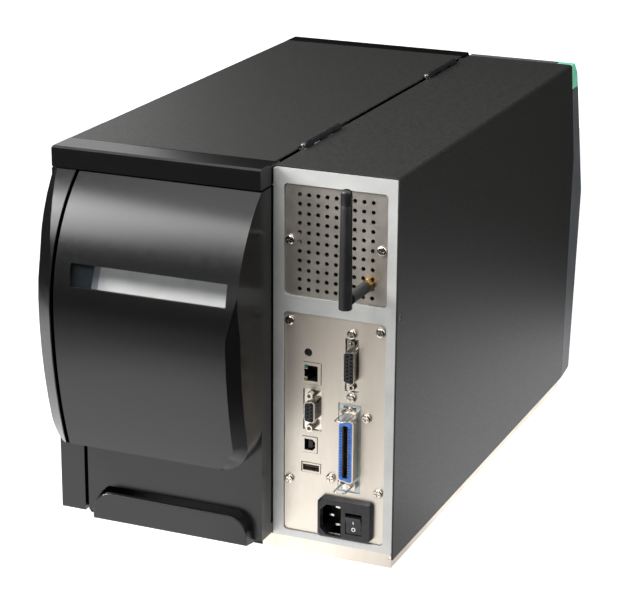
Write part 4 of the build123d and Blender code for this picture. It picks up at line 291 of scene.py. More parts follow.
def display_glass():
    """Display under a hard acrylic lens: nearly black green, mirror smooth."""
    tones = (linear("#0d1513"), linear("#131d1a"))
    return surface("display_glass", tones, 30.0, (0.05, 0.09), 3.0, 0.002, Coat_Weight=0.5)


def clear_polycarbonate():
    """Extruded clear polycarbonate sheet: hardly tinted, glossy, with very faint waves."""
    sheet = surface("clear_polycarbonate", (linear("#3a3f42"), linear("#474d50")), 30.0,
                    (0.03, 0.07), 20.0, 0.004, IOR=1.58, Alpha=0.12)
    sheet.surface_render_method = "BLENDED"
    return sheet


def label_paper():
    """Coated white label stock on its liner: bright and matt on the outside."""
    tones = (linear("#f1f0ee"), linear("#fbfbfa"))
    return surface("label_paper", tones, 12.0, (0.50, 0.60), 0.8, 0.006)


def wound_paper_edge():
    """Side of the wound roll: the cut edges of about 0.15 mm thick layers, drawn 0.6 mm
    apart so that the rings show."""
    side = surface("wound_paper_edge", (linear("#dcd9d2"), linear("#efede8")), 9.0,
                   (0.60, 0.75), 1.0, 0.01)
    place = add(side, "TexCoord").outputs["Object"]
    middle = (0.0, ROLL_MIDDLE[0] * MM, ROLL_MIDDLE[1] * MM)
    offset = add(side, "VectorMath", {"operation": "SUBTRACT"}, Vector=place)
    offset.inputs[1].default_value = middle
    flat = add(side, "Mapping", {"Scale": (0.0, 1.0, 1.0)}, Vector=offset.outputs["Vector"])
    rings = add(side, "TexWave", {"wave_type": "RINGS", "rings_direction": "SPHERICAL",
                                  "Scale": 0.314 / (0.6 * MM), "Distortion": 0.6,
                                  "Detail": 2.0}, Vector=flat.outputs["Vector"])
    groove = add(side, "Bump", {"Distance": 0.15 * MM}, Height=rings.outputs["Fac"])
    side.node_tree.links.new(groove.outputs["Normal"], shader(side).inputs["Normal"])
    return side


def core_board():
    """Spiral-wound grey-brown board of the core: dull, fibrous."""
    tones = (linear("#8f7a5e"), linear("#b39a78"))
    return surface("core_board", tones, 2.5, (0.75, 0.9), 0.5, 0.03, stretch=(0.3, 1, 1))


def printed_white():
    """Pad-printed white ink on plastic: flat and very slightly worn through."""
    tones = (linear("#d9dbdc"), linear("#f4f5f5"))
    return surface("printed_white", tones, 0.8, (0.45, 0.6), 0.4, 0.004)


def lamp_lens(name, colour):
    """Clear-tinted polycarbonate lens of an unlit lamp."""
    return surface(name, shades(colour, 0.1), 1.5, (0.12, 0.2), 0.8, 0.004,
                   Subsurface_Weight=0.2, Subsurface_Scale=0.001)


def belt_neoprene():
    """Neoprene timing belt: black, dull, with a woven back."""
    tones = (linear("#101010"), linear("#1d1d1d"))
    return surface("belt_neoprene", tones, 1.0, (0.65, 0.8), 0.5, 0.03)


def motor_steel():
    """Laminated motor stack and cast end caps under thin black lacquer."""
    tones = (linear("#2a2a2c"), linear("#4a4a4c"))
    return surface("motor_steel", tones, 4.0, (0.35, 0.5), 0.5, 0.05, stretch=(3, 1, 1),
                   Metallic=0.6)


def table_glow():
    """Lit paper as the glossy pieces mirror it: pools of light, each given by its middle and
    reach in metres, its slope and its greatest brightness."""
    material = bpy.data.materials.new("table_glow")
    material.use_nodes = True
    place = add(material, "TexCoord").outputs["Object"]
    pools = (((0.35, 0.25), 0.56, 4.8, 0.88), ((-0.08, -0.15), 0.46, 5.1, 1.4),
             ((0.1, 0.3), 0.35, 5.4, 0.98))
    total = None
    for middle, reach, slope, most in pools:
        at = add(material, "Mapping", {"Location": (-middle[0] / reach, -middle[1] / reach, 0),
                                       "Scale": [1 / reach] * 3}, Vector=place)
        fade = add(material, "TexGradient", {"gradient_type": "QUADRATIC_SPHERE"},
                   Vector=at.outputs["Vector"])
        level = add(material, "MapRange", {"From Max": most / slope, "To Max": most},
                    Value=fade.outputs["Fac"]).outputs["Result"]
        if total is not None:
            both = add(material, "Math", Value=level)
            material.node_tree.links.new(total, both.inputs[1])
            level = both.outputs["Value"]
        total = level
    glow = add(material, "Emission", Strength=total)
    material.node_tree.links.new(glow.outputs["Emission"],
                                 material.node_tree.nodes["Material Output"].inputs["Surface"])
    return material


def floor_paper():
    """Seamless white background paper, lit through from below: matt with a faint fibre."""
    tones = (linear("#f7f7f7"), linear("#fbfbfb"))
    return surface("floor_paper", tones, 60.0, (0.85, 0.95), 1.5, 0.01,
                   Emission_Color=(1, 1, 1, 1), Emission_Strength=1.0)


SLOT_FINISH = {
    "cast": "cast_aluminium",
    "black_sheet": "black_powder_coat",
    "pan_sheet": "nickel_plate",
    "vent_steel": "zinc_plate",
    "plate_steel": "nickel_plate",
    "screw_steel": "nickel_screw",
    "steel": "ground_steel",
    "rubber": "feet_rubber",
    "platen_rubber": "platen_silicone",
    "black_plastic": "black_abs",
    "grey_plastic": "grey_abs",
    "green_plastic": "green_abs",
    "light_plastic": "light_acetal",
    "blue_plastic": "blue_polyester",
    "board": "solder_mask",
    "screen": "display_glass",
    "clear": "clear_polycarbonate",
    "paper": "label_paper",
    "gold": "gold_plate",
    "motor": "motor_steel",
    "belt": "belt_neoprene",
}

# Nodes whose finish differs from their slot's usual one
NODE_FINISH = {
    "antenna_elbow": "glass_filled_nylon",
    "antenna_whip": "antenna_jacket",
    "hinge_leaf_base": "black_oxide",
    "hinge_leaf_lid": "black_oxide",
    "hinge_pins": "black_oxide",
    "ethernet_jack": "nickel_plate",
    "parallel_port_shell": "port_flange",
    "power_inlet": "glass_filled_nylon",
    "power_switch": "glass_filled_nylon",
    "usb_sockets": "nickel_plate",
}


class PrinterColours(bpy.types.PropertyGroup):
    """Colours of the painted and moulded pieces."""
    paint: bpy.props.FloatVectorProperty(
        name="Cover paint", description="Powder coat of the sheet covers", subtype="COLOR",
        size=3, min=0.0, max=1.0, default=linear("#242423"))
    cover: bpy.props.FloatVectorProperty(
        name="Moulded covers", description="Plastic of the rear cover and the caps",
        subtype="COLOR", size=3, min=0.0, max=1.0, default=linear("#0d0d0e"))
    front: bpy.props.FloatVectorProperty(
        name="Front", description="Plastic of the front bezel", subtype="COLOR",
        size=3, min=0.0, max=1.0, default=linear("#4a4d50"))
    accent: bpy.props.FloatVectorProperty(
        name="Accent", description="Plastic of the coloured corner and handled pieces",
        subtype="COLOR", size=3, min=0.0, max=1.0, default=linear("#6fbd9d"))
    guide: bpy.props.FloatVectorProperty(
        name="Guides", description="Plastic of the roll guide and the keys", subtype="COLOR",
        size=3, min=0.0, max=1.0, default=linear("#b3bcc4"))


class PrinterSizes(bpy.types.PropertyGroup):
    """Sizes of the detail that the finishes add."""
    cover_edge: bpy.props.FloatProperty(
        name="Cover edges", description="Rounding of the covers' edges", unit="LENGTH",
        default=0.8 * MM, min=0.1 * MM, max=1.5 * MM)
    part_edge: bpy.props.FloatProperty(
        name="Small edges", description="Rounding of small pieces' edges", unit="LENGTH",
        default=0.15 * MM, min=0.05 * MM, max=0.5 * MM)
    label_thickness: bpy.props.FloatProperty(
        name="Label thickness", description="How far a label stands on its liner",
        unit="LENGTH", default=0.15 * MM, min=0.05 * MM, max=0.4 * MM)
    mark_thickness: bpy.props.FloatProperty(
        name="Ink thickness", description="How far printed marks stand out", unit="LENGTH",
        default=0.08 * MM, min=0.02 * MM, max=0.3 * MM)


# Mesh steps

def rest():
    """Object mode with nothing selected."""
    if bpy.context.object and bpy.context.object.mode != "OBJECT":
        bpy.ops.object.mode_set(mode="OBJECT")
    bpy.ops.object.select_all(action="DESELECT")


def hold(piece):
    """Only this piece is selected and active."""
    rest()
    piece.select_set(True)
    bpy.context.view_layer.objects.active = piece


def choose(piece, test=None):
    """Edit mode with only the faces selected that pass a test of their middle, in
    millimetres, and their direction."""
    hold(piece)
    bpy.ops.object.mode_set(mode="EDIT")
    bpy.ops.mesh.select_mode(type="FACE")
    bpy.ops.mesh.select_all(action="SELECT" if test is None else "DESELECT")
    if test is not None:
        bpy.ops.object.mode_set(mode="OBJECT")
        for face in piece.data.polygons:
            face.select = bool(test(face.center / MM, face.normal))
        bpy.ops.object.mode_set(mode="EDIT")


def settle(piece, name):
    """The piece's place, turn and size go into its mesh."""
    hold(piece)
    bpy.ops.object.transform_apply(location=True, rotation=True, scale=True)
    piece.name = name
    piece.data.name = name
    return piece


def slab(name, middle, size, edge, turn=(0, 0, 0)):
    """Block with rounded edges, in millimetres and degrees."""
    rest()
    bpy.ops.mesh.primitive_cube_add(
        size=1.0, location=[v * MM for v in middle], rotation=[math.radians(v) for v in turn])
    piece = bpy.context.object
    piece.scale = [v * MM for v in size]
    settle(piece, name)
    choose(piece)
    bpy.ops.mesh.bevel(offset=edge * MM, segments=2, affect="EDGES")
    rest()
    return piece


def rod(name, middle, radius, length, axis, sides=32):
    """Round bar along an axis, in millimetres."""
    turn = {"X": (0, math.pi / 2, 0), "Y": (math.pi / 2, 0, 0), "Z": (0, 0, 0)}[axis]
    rest()
    bpy.ops.mesh.primitive_cylinder_add(
        vertices=sides, radius=radius * MM, depth=length * MM,
        location=[v * MM for v in middle], rotation=turn)
    return settle(bpy.context.object, name)


def spaced(count, pitch):
    """Places of a row of pieces, centred on zero."""
    return [(i - (count - 1) / 2) * pitch for i in range(count)]


def repeat(piece, moves):
    """Copies of a piece, each moved by so many millimetres from the first, joined in one."""
    parts = []
    for move in moves:
        mesh = piece.data.copy()
        mesh.transform(Matrix.Translation(Vector(move) * MM))
        part = bpy.data.objects.new(piece.name, mesh)
        bpy.context.collection.objects.link(part)
        parts.append(part)
    name = piece.name
    bpy.data.objects.remove(piece)
    return join(name, parts)


def join(name, parts):
    hold(parts[0])
    for part in parts:
        part.select_set(True)
    bpy.ops.object.join()
    parts[0].name = name
    parts[0].data.name = name
    return parts[0]


def coat(piece, finish, test=None):
    """Gives a piece a finish, all over or on the faces that pass the test."""
    piece.data.materials.append(bpy.data.materials[finish])
    index = len(piece.data.materials) - 1
    for face in piece.data.polygons:
        if test is None or test(face.center / MM, face.normal):
            face.material_index = index


def fit(piece, finish, node, stands_for=(), outward=True):
    """A shaped piece gets smooth curves, its finish, and the body of a node."""
    if outward:
        choose(piece)
        bpy.ops.mesh.normals_make_consistent(inside=False)
    hold(piece)
    bpy.ops.object.shade_smooth_by_angle(angle=math.radians(SMOOTH_ANGLE))
    piece.data.materials.clear()
    coat(piece, finish)
    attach(piece, BODY_OF[node])
    if stands_for:
        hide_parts(*stands_for)
    rest()
    return piece


def dress(node, edge=0.0, finish=None):
    """A copy of a node with its triangles merged, its edges rounded and its curves smooth."""
    name = node + "_finished"
    piece = bpy.data.objects.new(name, frame["nodes"][node].data.copy())
    bpy.context.collection.objects.link(piece)
    piece.data.name = name
    choose(piece)
    bpy.ops.mesh.customdata_custom_splitnormals_clear()
    bpy.ops.mesh.remove_doubles(threshold=0.002 * MM)
    bpy.ops.mesh.dissolve_limited(angle_limit=math.radians(0.4))
    hold(piece)
    if edge:
        bevel = piece.modifiers.new("edges", "BEVEL")
        bevel.width = edge
        bevel.segments = 2
        bevel.limit_method = "ANGLE"
        bevel.angle_limit = math.radians(EDGE_ANGLE)
        bevel.use_clamp_overlap = True
        bpy.ops.object.modifier_apply(modifier=bevel.name)
    bpy.ops.object.shade_smooth_by_angle(angle=math.radians(SMOOTH_ANGLE))
    even = piece.modifiers.new("even", "WEIGHTED_NORMAL")
    even.keep_sharp = True
    bpy.ops.object.modifier_apply(modifier=even.name)
    piece.data.materials.clear()
    coat(piece, finish or finish_of(node))
    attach(piece, BODY_OF[node])
    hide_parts(node)
    rest()
    return piece


def finish_of(node):
    return NODE_FINISH.get(node, SLOT_FINISH[SLOT_OF[node]])


def top_of(node, direction):
    """Middle of the end of a node that lies farthest in a direction, in millimetres."""
    points = [vertex.co / MM for vertex in frame["nodes"][node].data.vertices]
    reach = max(point.dot(direction) for point in points)
    end = [point for point in points if point.dot(direction) > reach - 0.05]
    return sum(end, Vector()) / len(end)


def within(middle, half_x, half_z, low_y, high_y=1000.0):
    """Test for faces near a place on the rear."""
    return lambda at, out: (abs(at.x - middle[0]) < half_x and abs(at.z - middle[1]) < half_z
                            and low_y < at.y < high_y)


def drill(piece, tool):
    """Cuts the tool's shape out of a piece and removes the tool."""
    hold(piece)
    cut = piece.modifiers.new("holes", "BOOLEAN")
    cut.object = tool
    cut.operation = "DIFFERENCE"
    cut.solver = "EXACT"
    bpy.ops.object.modifier_apply(modifier=cut.name)
    bpy.data.objects.remove(tool)
    rest()


def nut(name, middle, radius, height, hole):
    """Six-sided female screw that faces the rear, with its hole. Middle is that of its foot."""
    x, y, z = middle
    piece = rod(name, (x, y + height / 2, z), radius, height, "Y", 6)
    choose(piece, lambda at, out: out.y > 0.9)
    bpy.ops.mesh.inset(thickness=(radius * 0.866 - hole) * MM)
    bpy.ops.mesh.extrude_region_move(
        TRANSFORM_OT_translate={"value": (0, -height * 0.8 * MM, 0)})
    rest()
    return piece


def pan_head(name, middle, radius, height):
    """Round screw head that faces the rear, domed, with a cross cut in it."""
    x, y, z = middle
    head = rod(name, (x, y + height / 2, z), radius, height, "Y", 24)
    choose(head, lambda at, out: out.y > 0.9)
    bpy.ops.mesh.bevel(offset=height * 0.5 * MM, segments=3, affect="EDGES")
    slots = [slab(name, (x, y + height, z), size, 0.1)
             for size in ((radius * 1.2, height, 0.6), (0.6, height, radius * 1.2))]
    drill(head, slots[0])
    drill(head, slots[1])
    return head


class Step:
    """What every operator of this file shares."""
    bl_options = {"REGISTER", "UNDO"}


class PRINTER_OT_finishes(Step, bpy.types.Operator):
    """Makes the finishes and gives every node its own"""
    bl_idname = "printer.finishes"
    bl_label = "Finishes"

    def execute(self, context):
        colours = context.scene.printer_colours
        black_powder_coat(tuple(colours.paint))
        black_abs(tuple(colours.cover))
        black_textured_abs(tuple(colours.cover))
        grey_abs(tuple(colours.front))
        green_abs(tuple(colours.accent))
        light_acetal(tuple(colours.guide))
        lamp_lens("green_lens", linear("#25573d"))
        lamp_lens("amber_lens", linear("#67612e"))
        for make in (cast_aluminium, nickel_plate, zinc_plate, black_oxide, nickel_screw,
                     ground_steel, port_flange, gold_plate, feet_rubber, platen_silicone,
                     glass_filled_nylon, antenna_jacket, blue_polyester, solder_mask,
                     display_glass, clear_polycarbonate, label_paper, wound_paper_edge,
                     core_board, printed_white, belt_neoprene, motor_steel, floor_paper,
                     table_glow):
            make()
        for name, node in frame["nodes"].items():
            node.data.materials.clear()
            node.data.materials.append(bpy.data.materials[finish_of(name)])
        return {"FINISHED"}


class PRINTER_OT_sheet_covers(Step, bpy.types.Operator):
    """Painted sheet covers with softened folds and edges. The pan is black inside the media bay
    and a black rubber strip lies on its edge: painted shade that keeps the gaps there dark"""
    bl_idname = "printer.sheet_covers"
    bl_label = "Sheet covers"

    def execute(self, context):
        edge = context.scene.printer_sizes.cover_edge
        for node in ("electronics_cover", "lid_shell"):
            dress(node, edge)
        pan = dress("base_pan", edge)
        # Black coat on the pan's top inside the media bay and on its rim there: painted shade,
        # so that the slot and the gap by the media cover show dark
        coat(pan, "black_powder_coat",
             lambda at, out: at.x > BAY_EDGE and (out.z > 0.9 or at.x > PAN_SIDE))
        # A black rubber strip on the pan's edge: painted shade that closes the see-through gap
        # by the media cover
        spans = (SHADE_STRIP_X, SHADE_STRIP_Y, SHADE_STRIP_Z)
        shade_strip = slab("cover_seal", [(low + high) / 2 for low, high in spans],
                    [high - low for low, high in spans], 0.5)
        fit(shade_strip, "feet_rubber", "base_pan")
        return {"FINISHED"}


class PRINTER_OT_moulded_covers(Step, bpy.types.Operator):
    """Moulded rear cover, caps, windows and front pieces"""
    bl_idname = "printer.moulded_covers"
    bl_label = "Moulded covers"

    def execute(self, context):
        edge = context.scene.printer_sizes.cover_edge
        for node in ("rear_cover", "lid_rear_cap", "lid_front_cap", "front_bezel",
                     "lower_front_cover"):
            dress(node, edge)
        dress("accent_corner", edge * 2)
        for node in ("rear_window", "side_window"):
            dress(node, context.scene.printer_sizes.part_edge)
        return {"FINISHED"}


class PRINTER_OT_frame(Step, bpy.types.Operator):
    """Cast frame, rear plates, screws and feet"""
    bl_idname = "printer.frame"
    bl_label = "Frame and plates"

    def execute(self, context):
        sizes = context.scene.printer_sizes
        dress("centre_frame", sizes.part_edge * 2)
        for node in ("connector_plate", "vent_plate"):
            dress(node, sizes.part_edge)
        screws = dress("case_screws", sizes.part_edge)
        coat(screws, "black_oxide", lambda at, out: at.x < COVER_SIDE)
        dress("rubber_feet", sizes.cover_edge)
        return {"FINISHED"}


class PRINTER_OT_hinges(Step, bpy.types.Operator):
    """Hinge leaves and pins of the media cover"""
    bl_idname = "printer.hinges"
    bl_label = "Hinges"

    def execute(self, context):
        for node in ("hinge_leaf_base", "hinge_leaf_lid", "hinge_pins"):
            dress(node, context.scene.printer_sizes.part_edge)
        return {"FINISHED"}


class PRINTER_OT_network_jack(Step, bpy.types.Operator):
    """Network jack with a plated shield, a dark mouth, eight wires and two lamps"""
    bl_idname = "printer.network_jack"
    bl_label = "Network jack"

    def execute(self, context):
        x, z = JACK
        mouth, depth, half = PLATE_FACE + SOCKET_RISE, 13.5, 6.1
        wire_count, wire_pitch = 8, 1.02
        lamp_across, lamp_up = 4.7, 4.9
        jack = dress("ethernet_jack", context.scene.printer_sizes.part_edge)
        coat(jack, "glass_filled_nylon", within(JACK, half, half, mouth - depth, mouth - 0.12))
        wire = slab("network_jack_wires", (x - 2.9, mouth - 7.0, z), (0.3, 8.0, 0.4), 0.06,
                    (0, 0, 12))
        wires = repeat(wire, [(0, 0, step) for step in spaced(wire_count, wire_pitch)])
        fit(wires, "gold_plate", "ethernet_jack")
        for name, side, finish in (("upper_jack_lamp", 1, "green_lens"),
                                   ("lower_jack_lamp", -1, "amber_lens")):
            lamp = slab(name, (x + lamp_across, mouth - 0.1, z + side * lamp_up),
                        (2.5, 0.7, 2.7), 0.2)
            choose(lamp, lambda at, out: out.y > 0.9)
            bpy.ops.mesh.inset(thickness=0.25 * MM)
            bpy.ops.transform.translate(value=(0, 0.1 * MM, 0))
            fit(lamp, finish, "ethernet_jack")
        return {"FINISHED"}


class PRINTER_OT_serial_ports(Step, bpy.types.Operator):
    """Nine-way and fifteen-way ports with black inserts and contact holes"""
    bl_idname = "printer.serial_ports"
    bl_label = "Serial ports"

    def execute(self, context):
        pitch, row, radius, depth = 2.77, 1.42, 0.7, 5.0
        top = SERIAL_FACE + SERIAL_RISE
        # Node, middle, holes in the longer row and half the height of the insert's face
        ports = (("serial_port", SERIAL, 5, 7.6), ("applicator_port", APPLICATOR, 8, 11.9))
        for node, middle, count, half in ports:
            port = dress(node, context.scene.printer_sizes.part_edge * 0.7)
            coat(port, "glass_filled_nylon", within(middle, 3.4, half, top - 0.2, top + 0.1))
            places = [(-row, step) for step in spaced(count, pitch)]
            places += [(row, step) for step in spaced(count - 1, pitch)]
            holes = repeat(rod("contact_holes", (0, 0, 0), radius, depth, "Y", 12),
                           [(middle[0] + across, top, middle[1] + up) for across, up in places])
            drill(port, holes)
            coat(port, "glass_filled_nylon",
                 within(middle, 3.2, half, top - depth, top - 0.05))
        locks = [nut("applicator_jack_screw", (APPLICATOR[0], SERIAL_FACE, APPLICATOR[1] + side),
                     2.6, 2.8, 1.3) for side in (-APPLICATOR_LOCK, APPLICATOR_LOCK)]
        fit(join("applicator_jack_screws", locks), "nickel_screw", "applicator_port",
            outward=False)
        return {"FINISHED"}


class PRINTER_OT_usb_sockets(Step, bpy.types.Operator):
    """Two peripheral sockets with dark insides and gold contacts"""
    bl_idname = "printer.usb_sockets"
    bl_label = "Peripheral sockets"

    def execute(self, context):
        mouth = PLATE_FACE + SOCKET_RISE
        host_count, host_pitch = 4, 2.3
        device_across, device_up = 1.68, 1.25
        sockets = dress("usb_sockets", context.scene.printer_sizes.part_edge * 0.7)
        coat(sockets, "glass_filled_nylon",
             within(DEVICE_USB, 4.4, 4.5, mouth - 9.2, mouth - 0.1))
        coat(sockets, "glass_filled_nylon",
             within(HOST_USB, 6.0, 2.0, mouth - 10.2, mouth - 0.3))
        x, z = HOST_USB
        strip = slab("host_contacts", (x, mouth - 4.6, z + 0.12), (1.0, 6.0, 0.2), 0.05)
        fit(repeat(strip, [(step, 0, 0) for step in spaced(host_count, host_pitch)]),
            "gold_plate", "usb_sockets")
        x, z = DEVICE_USB
        strip = slab("device_contacts", (x, mouth - 4.6, z), (0.2, 5.4, 1.0), 0.05)
        places = [(side * device_across, 0, end * device_up)
                  for side in (-1, 1) for end in (-1, 1)]
        fit(repeat(strip, places), "gold_plate", "usb_sockets")
        return {"FINISHED"}


class PRINTER_OT_parallel_port(Step, bpy.types.Operator):
    """Thirty-six-way port with its blue insert, contact blades and wire clips"""
    bl_idname = "printer.parallel_port"
    bl_label = "Parallel port"

    def execute(self, context):
        x, z = PARALLEL
        pitch, count = 2.16, 18
        blade_row, cavity_row, groove_row = 1.82, 3.4, 2.1
        steps = spaced(count, pitch)
        edge = context.scene.printer_sizes.part_edge
        shell = dress("parallel_port_shell", edge)
        coat(shell, "nickel_plate", lambda at, out: at.y > PARALLEL_FACE + 0.2)
        insert = dress("parallel_port_insert", edge)
        for node in ("upper_port_bail", "lower_port_bail"):
            dress(node)
        blade = slab("parallel_contacts", (0, PARALLEL_FACE + 4.9, z), (0.28, 6.6, 1.1), 0.08)
        choose(blade, lambda at, out: out.y > 0.9)
        bpy.ops.transform.resize(value=(0.5, 1, 0.7))
        places = [(x + side * blade_row, 0, step) for side in (-1, 1) for step in steps]
        fit(repeat(blade, places), "gold_plate", "parallel_port_insert")
        cavities = repeat(rod("cavities", (0, 0, 0), 0.5, 1.6, "Y", 8),
                          [(x + side * cavity_row, PARALLEL_FACE + 8.8, z + step)
                           for side in (-1, 1) for step in steps])
        drill(insert, cavities)
        grooves = repeat(slab("grooves", (0, PARALLEL_FACE + 6.0, z), (1.0, 7.0, 1.2), 0.05),
                         [(x + side * groove_row, 0, step)
                          for side in (-1, 1) for step in steps])
        drill(insert, grooves)
        # The blue insert's slot, grooves and cavities get black nylon: painted shade in its
        # recesses
        coat(insert, "glass_filled_nylon",
             lambda at, out: at.y < PARALLEL_FACE + 8.7 and abs(at.x - x) < 4.2)
        for side, end in ((1, "upper"), (-1, "lower")):
            spot = z + side * PARALLEL_LOCK
            plate = slab(end + "_clip_bracket", (x, PARALLEL_FACE + 0.35, spot),
                         (9.6, 0.7, 5.6), 0.2)
            screw = pan_head(end + "_clip_screw", (x, PARALLEL_FACE + 0.6, spot), 2.4, 1.3)
            fit(join(end + "_clip_bracket", [plate, screw]), "nickel_screw",
                "parallel_port_shell")
        return {"FINISHED"}


class PRINTER_OT_mains_inlet(Step, bpy.types.Operator):
    """Mains inlet with three pins, and its rocker with the usual two marks"""
    bl_idname = "printer.mains_inlet"
    bl_label = "Mains inlet"

    def execute(self, context):
        edge = context.scene.printer_sizes.part_edge
        ink = context.scene.printer_sizes.mark_thickness / MM
        dress("power_inlet", edge * 2)
        dress("power_switch", edge * 2)
        x, z = SOCKET
        pin_middle, pin_length = PLATE_FACE - 11.2, 11.4
        earth_across, line_across, line_up = 3, -2, 7
        pin = slab("mains_pins", (0, pin_middle, 0), (4.0, pin_length, 2.0), 0.3)
        choose(pin, lambda at, out: out.y > 0.9)
        bpy.ops.mesh.extrude_region_move(
            TRANSFORM_OT_translate={"value": (0, 0.8 * MM, 0)})
        bpy.ops.transform.resize(value=(0.7, 1, 0.5))
        pins = repeat(pin, [(x + earth_across, 0, z), (x + line_across, 0, z + line_up),
                            (x + line_across, 0, z - line_up)])
        fit(pins, "nickel_screw", "power_inlet")
        x, z = ROCKER
        bar_up, bar_out, bar_tilt = 1.35, PLATE_FACE + 4.44, -18.7
        ring_up, ring_out = -4.2, PLATE_FACE + 3.81
        bar = slab("rocker_on_mark", (x, bar_out, z + bar_up), (0.7, ink, 2.6),
                   ink * 0.3, (bar_tilt, 0, 0))
        fit(bar, "printed_white", "power_switch")
        ring = rod("rocker_off_mark", (x, ring_out, z + ring_up), 1.6, ink, "Y")
        choose(ring, lambda at, out: abs(out.y) > 0.9)
        bpy.ops.mesh.inset(thickness=0.6 * MM)
        bpy.ops.mesh.bridge_edge_loops()
        fit(ring, "printed_white", "power_switch")
        return {"FINISHED"}


class PRINTER_OT_antenna(Step, bpy.types.Operator):
    """Swivelling antenna with its gold connector"""
    bl_idname = "printer.antenna"
    bl_label = "Antenna"

    def execute(self, context):
        edge = context.scene.printer_sizes.part_edge
        dress("antenna_socket", edge)
        elbow = dress("antenna_elbow", edge * 2)
        coat(elbow, "gold_plate", lambda at, out: at.y < PLATE_FACE + COUPLING_RISE)
        whip = dress("antenna_whip")
        half_groove, groove_depth = 0.35, 0.25
        for height in (WHIP_CAP - half_groove, WHIP_CAP, WHIP_CAP + half_groove):
            choose(whip)
            bpy.ops.mesh.bisect(plane_co=(0, 0, height * MM), plane_no=(0, 0, 1))
        choose(whip)
        bpy.ops.mesh.select_mode(type="VERT")
        bpy.ops.mesh.select_all(action="DESELECT")
        bpy.ops.object.mode_set(mode="OBJECT")
        for vertex in whip.data.vertices:
            vertex.select = abs(vertex.co.z / MM - WHIP_CAP) < 0.1
        bpy.ops.object.mode_set(mode="EDIT")
        bpy.ops.transform.shrink_fatten(value=-groove_depth * MM)
        rest()
        return {"FINISHED"}


class PRINTER_OT_control_panel(Step, bpy.types.Operator):
    """Control panel with its display, three keys and their plain symbols"""
    bl_idname = "printer.control_panel"
    bl_label = "Control panel"

    def execute(self, context):
        edge = context.scene.printer_sizes.part_edge
        ink = context.scene.printer_sizes.mark_thickness / MM
        dress("control_panel", edge * 2, "black_textured_abs")
        screen = dress("display_module", edge)
        screen_depth = 5.0
        front = top_of("display_module", PANEL_OUT).dot(PANEL_OUT)
        coat(screen, "solder_mask", lambda at, out: at.dot(PANEL_OUT) < front - screen_depth)
        tilt = math.degrees(math.atan2(PANEL_OUT.z, -PANEL_OUT.y))
        rise = Vector((0, PANEL_OUT.z, -PANEL_OUT.y))
        # Bars of each mark: place across and up, length and width, and turn in degrees
        marks = {
            "pause_key": [((-1.3, 0), (1.1, 5.0), 0), ((1.3, 0), (1.1, 5.0), 0)],
            "feed_key": [((0, 2.0), (5.0, 1.0), 0), ((-0.95, -0.9), (3.6, 1.0), 50),
                         ((0.95, -0.9), (3.6, 1.0), -50)],
            "cancel_key": [((0, 0), (5.6, 1.1), 45), ((0, 0), (5.6, 1.1), -45)],
        }
        for node, bars in marks.items():
            dress(node)
            middle = top_of(node, PANEL_OUT) + PANEL_OUT * ink * 0.4
            parts = []
            for (across, up), size, turn in bars:
                rest()
                bpy.ops.mesh.primitive_cube_add(size=1.0)
                part = bpy.context.object
                place = middle + Vector((across, 0, 0)) + rise * up
                turned = (Matrix.Rotation(math.radians(-tilt), 4, "X")
                          @ Matrix.Rotation(math.radians(turn), 4, "Y"))
                size = Matrix.Diagonal((size[0] * MM, ink * MM, size[1] * MM, 1))
                part.matrix_world = Matrix.Translation(place * MM) @ turned @ size
                settle(part, node + "_mark")
                choose(part)
                bpy.ops.mesh.bevel(offset=ink * 0.3 * MM, segments=1, affect="EDGES")
                rest()
                parts.append(part)
            fit(join(node + "_mark", parts), "printed_white", node)
        return {"FINISHED"}


class PRINTER_OT_label_roll(Step, bpy.types.Operator):
    """Wound label stock with eight labels showing on its outside, on a board core"""
    bl_idname = "printer.label_roll"
    bl_label = "Label roll"

    def execute(self, context):
        label = context.scene.printer_sizes.label_thickness
        y, z = ROLL_MIDDLE
        low, high = ROLL_ENDS
        middle, length = ((low + high) / 2, y, z), high - low
        sides, labels, rim, border = 144, 8, 0.4, 1.0
        outer, hole = ROLL_R - label / MM, CORE_R + CORE_WALL

        stock = rod("label_stock", middle, outer, length, "X", sides)
        choose(stock, lambda at, out: abs(out.x) > 0.9)
        bpy.ops.mesh.inset(thickness=rim * MM)
        bpy.ops.mesh.inset(thickness=(outer - hole - rim) * MM)
        bpy.ops.mesh.bridge_edge_loops()
        each = sides // labels

        def on_label(at, out):
            turn = math.atan2(at.z - z, at.y - y) / (2 * math.pi) % 1.0
            far = math.hypot(at.y - y, at.z - z) > outer - 1.0
            return abs(out.x) < 0.5 and far and int(turn * sides) % each != 0

        choose(stock, on_label)
        bpy.ops.mesh.inset(thickness=border * MM)
        bpy.ops.transform.shrink_fatten(value=label)
        fit(stock, "label_paper", "label_roll", ("label_roll",))
        coat(stock, "wound_paper_edge", lambda at, out: abs(out.x) > 0.7)

        core = rod("label_core", middle, hole, length, "X", 96)
        choose(core, lambda at, out: abs(out.x) > 0.9)
        bpy.ops.mesh.inset(thickness=CORE_WALL * MM)
        bpy.ops.mesh.bridge_edge_loops()
        fit(core, "core_board", "label_roll", ("label_roll",))

        dress("label_hanger", context.scene.printer_sizes.cover_edge, "black_textured_abs")
        dress("roll_guide", context.scene.printer_sizes.cover_edge)
        return {"FINISHED"}


class PRINTER_OT_print_mechanism(Step, bpy.types.Operator):
    """Print frame, platen, print head, latch and label guides"""
    bl_idname = "printer.print_mechanism"
    bl_label = "Print mechanism"

    def execute(self, context):
        edge = context.scene.printer_sizes.part_edge
        for node in ("print_frame", "shaft_bearings", "platen_shaft", "platen_rubber",
                     "printhead_bracket", "head_latch", "tear_bar", "guide_posts",
                     "web_damper", "edge_guide"):
            dress(node, edge * 2)
        dress("printhead", edge)
        return {"FINISHED"}


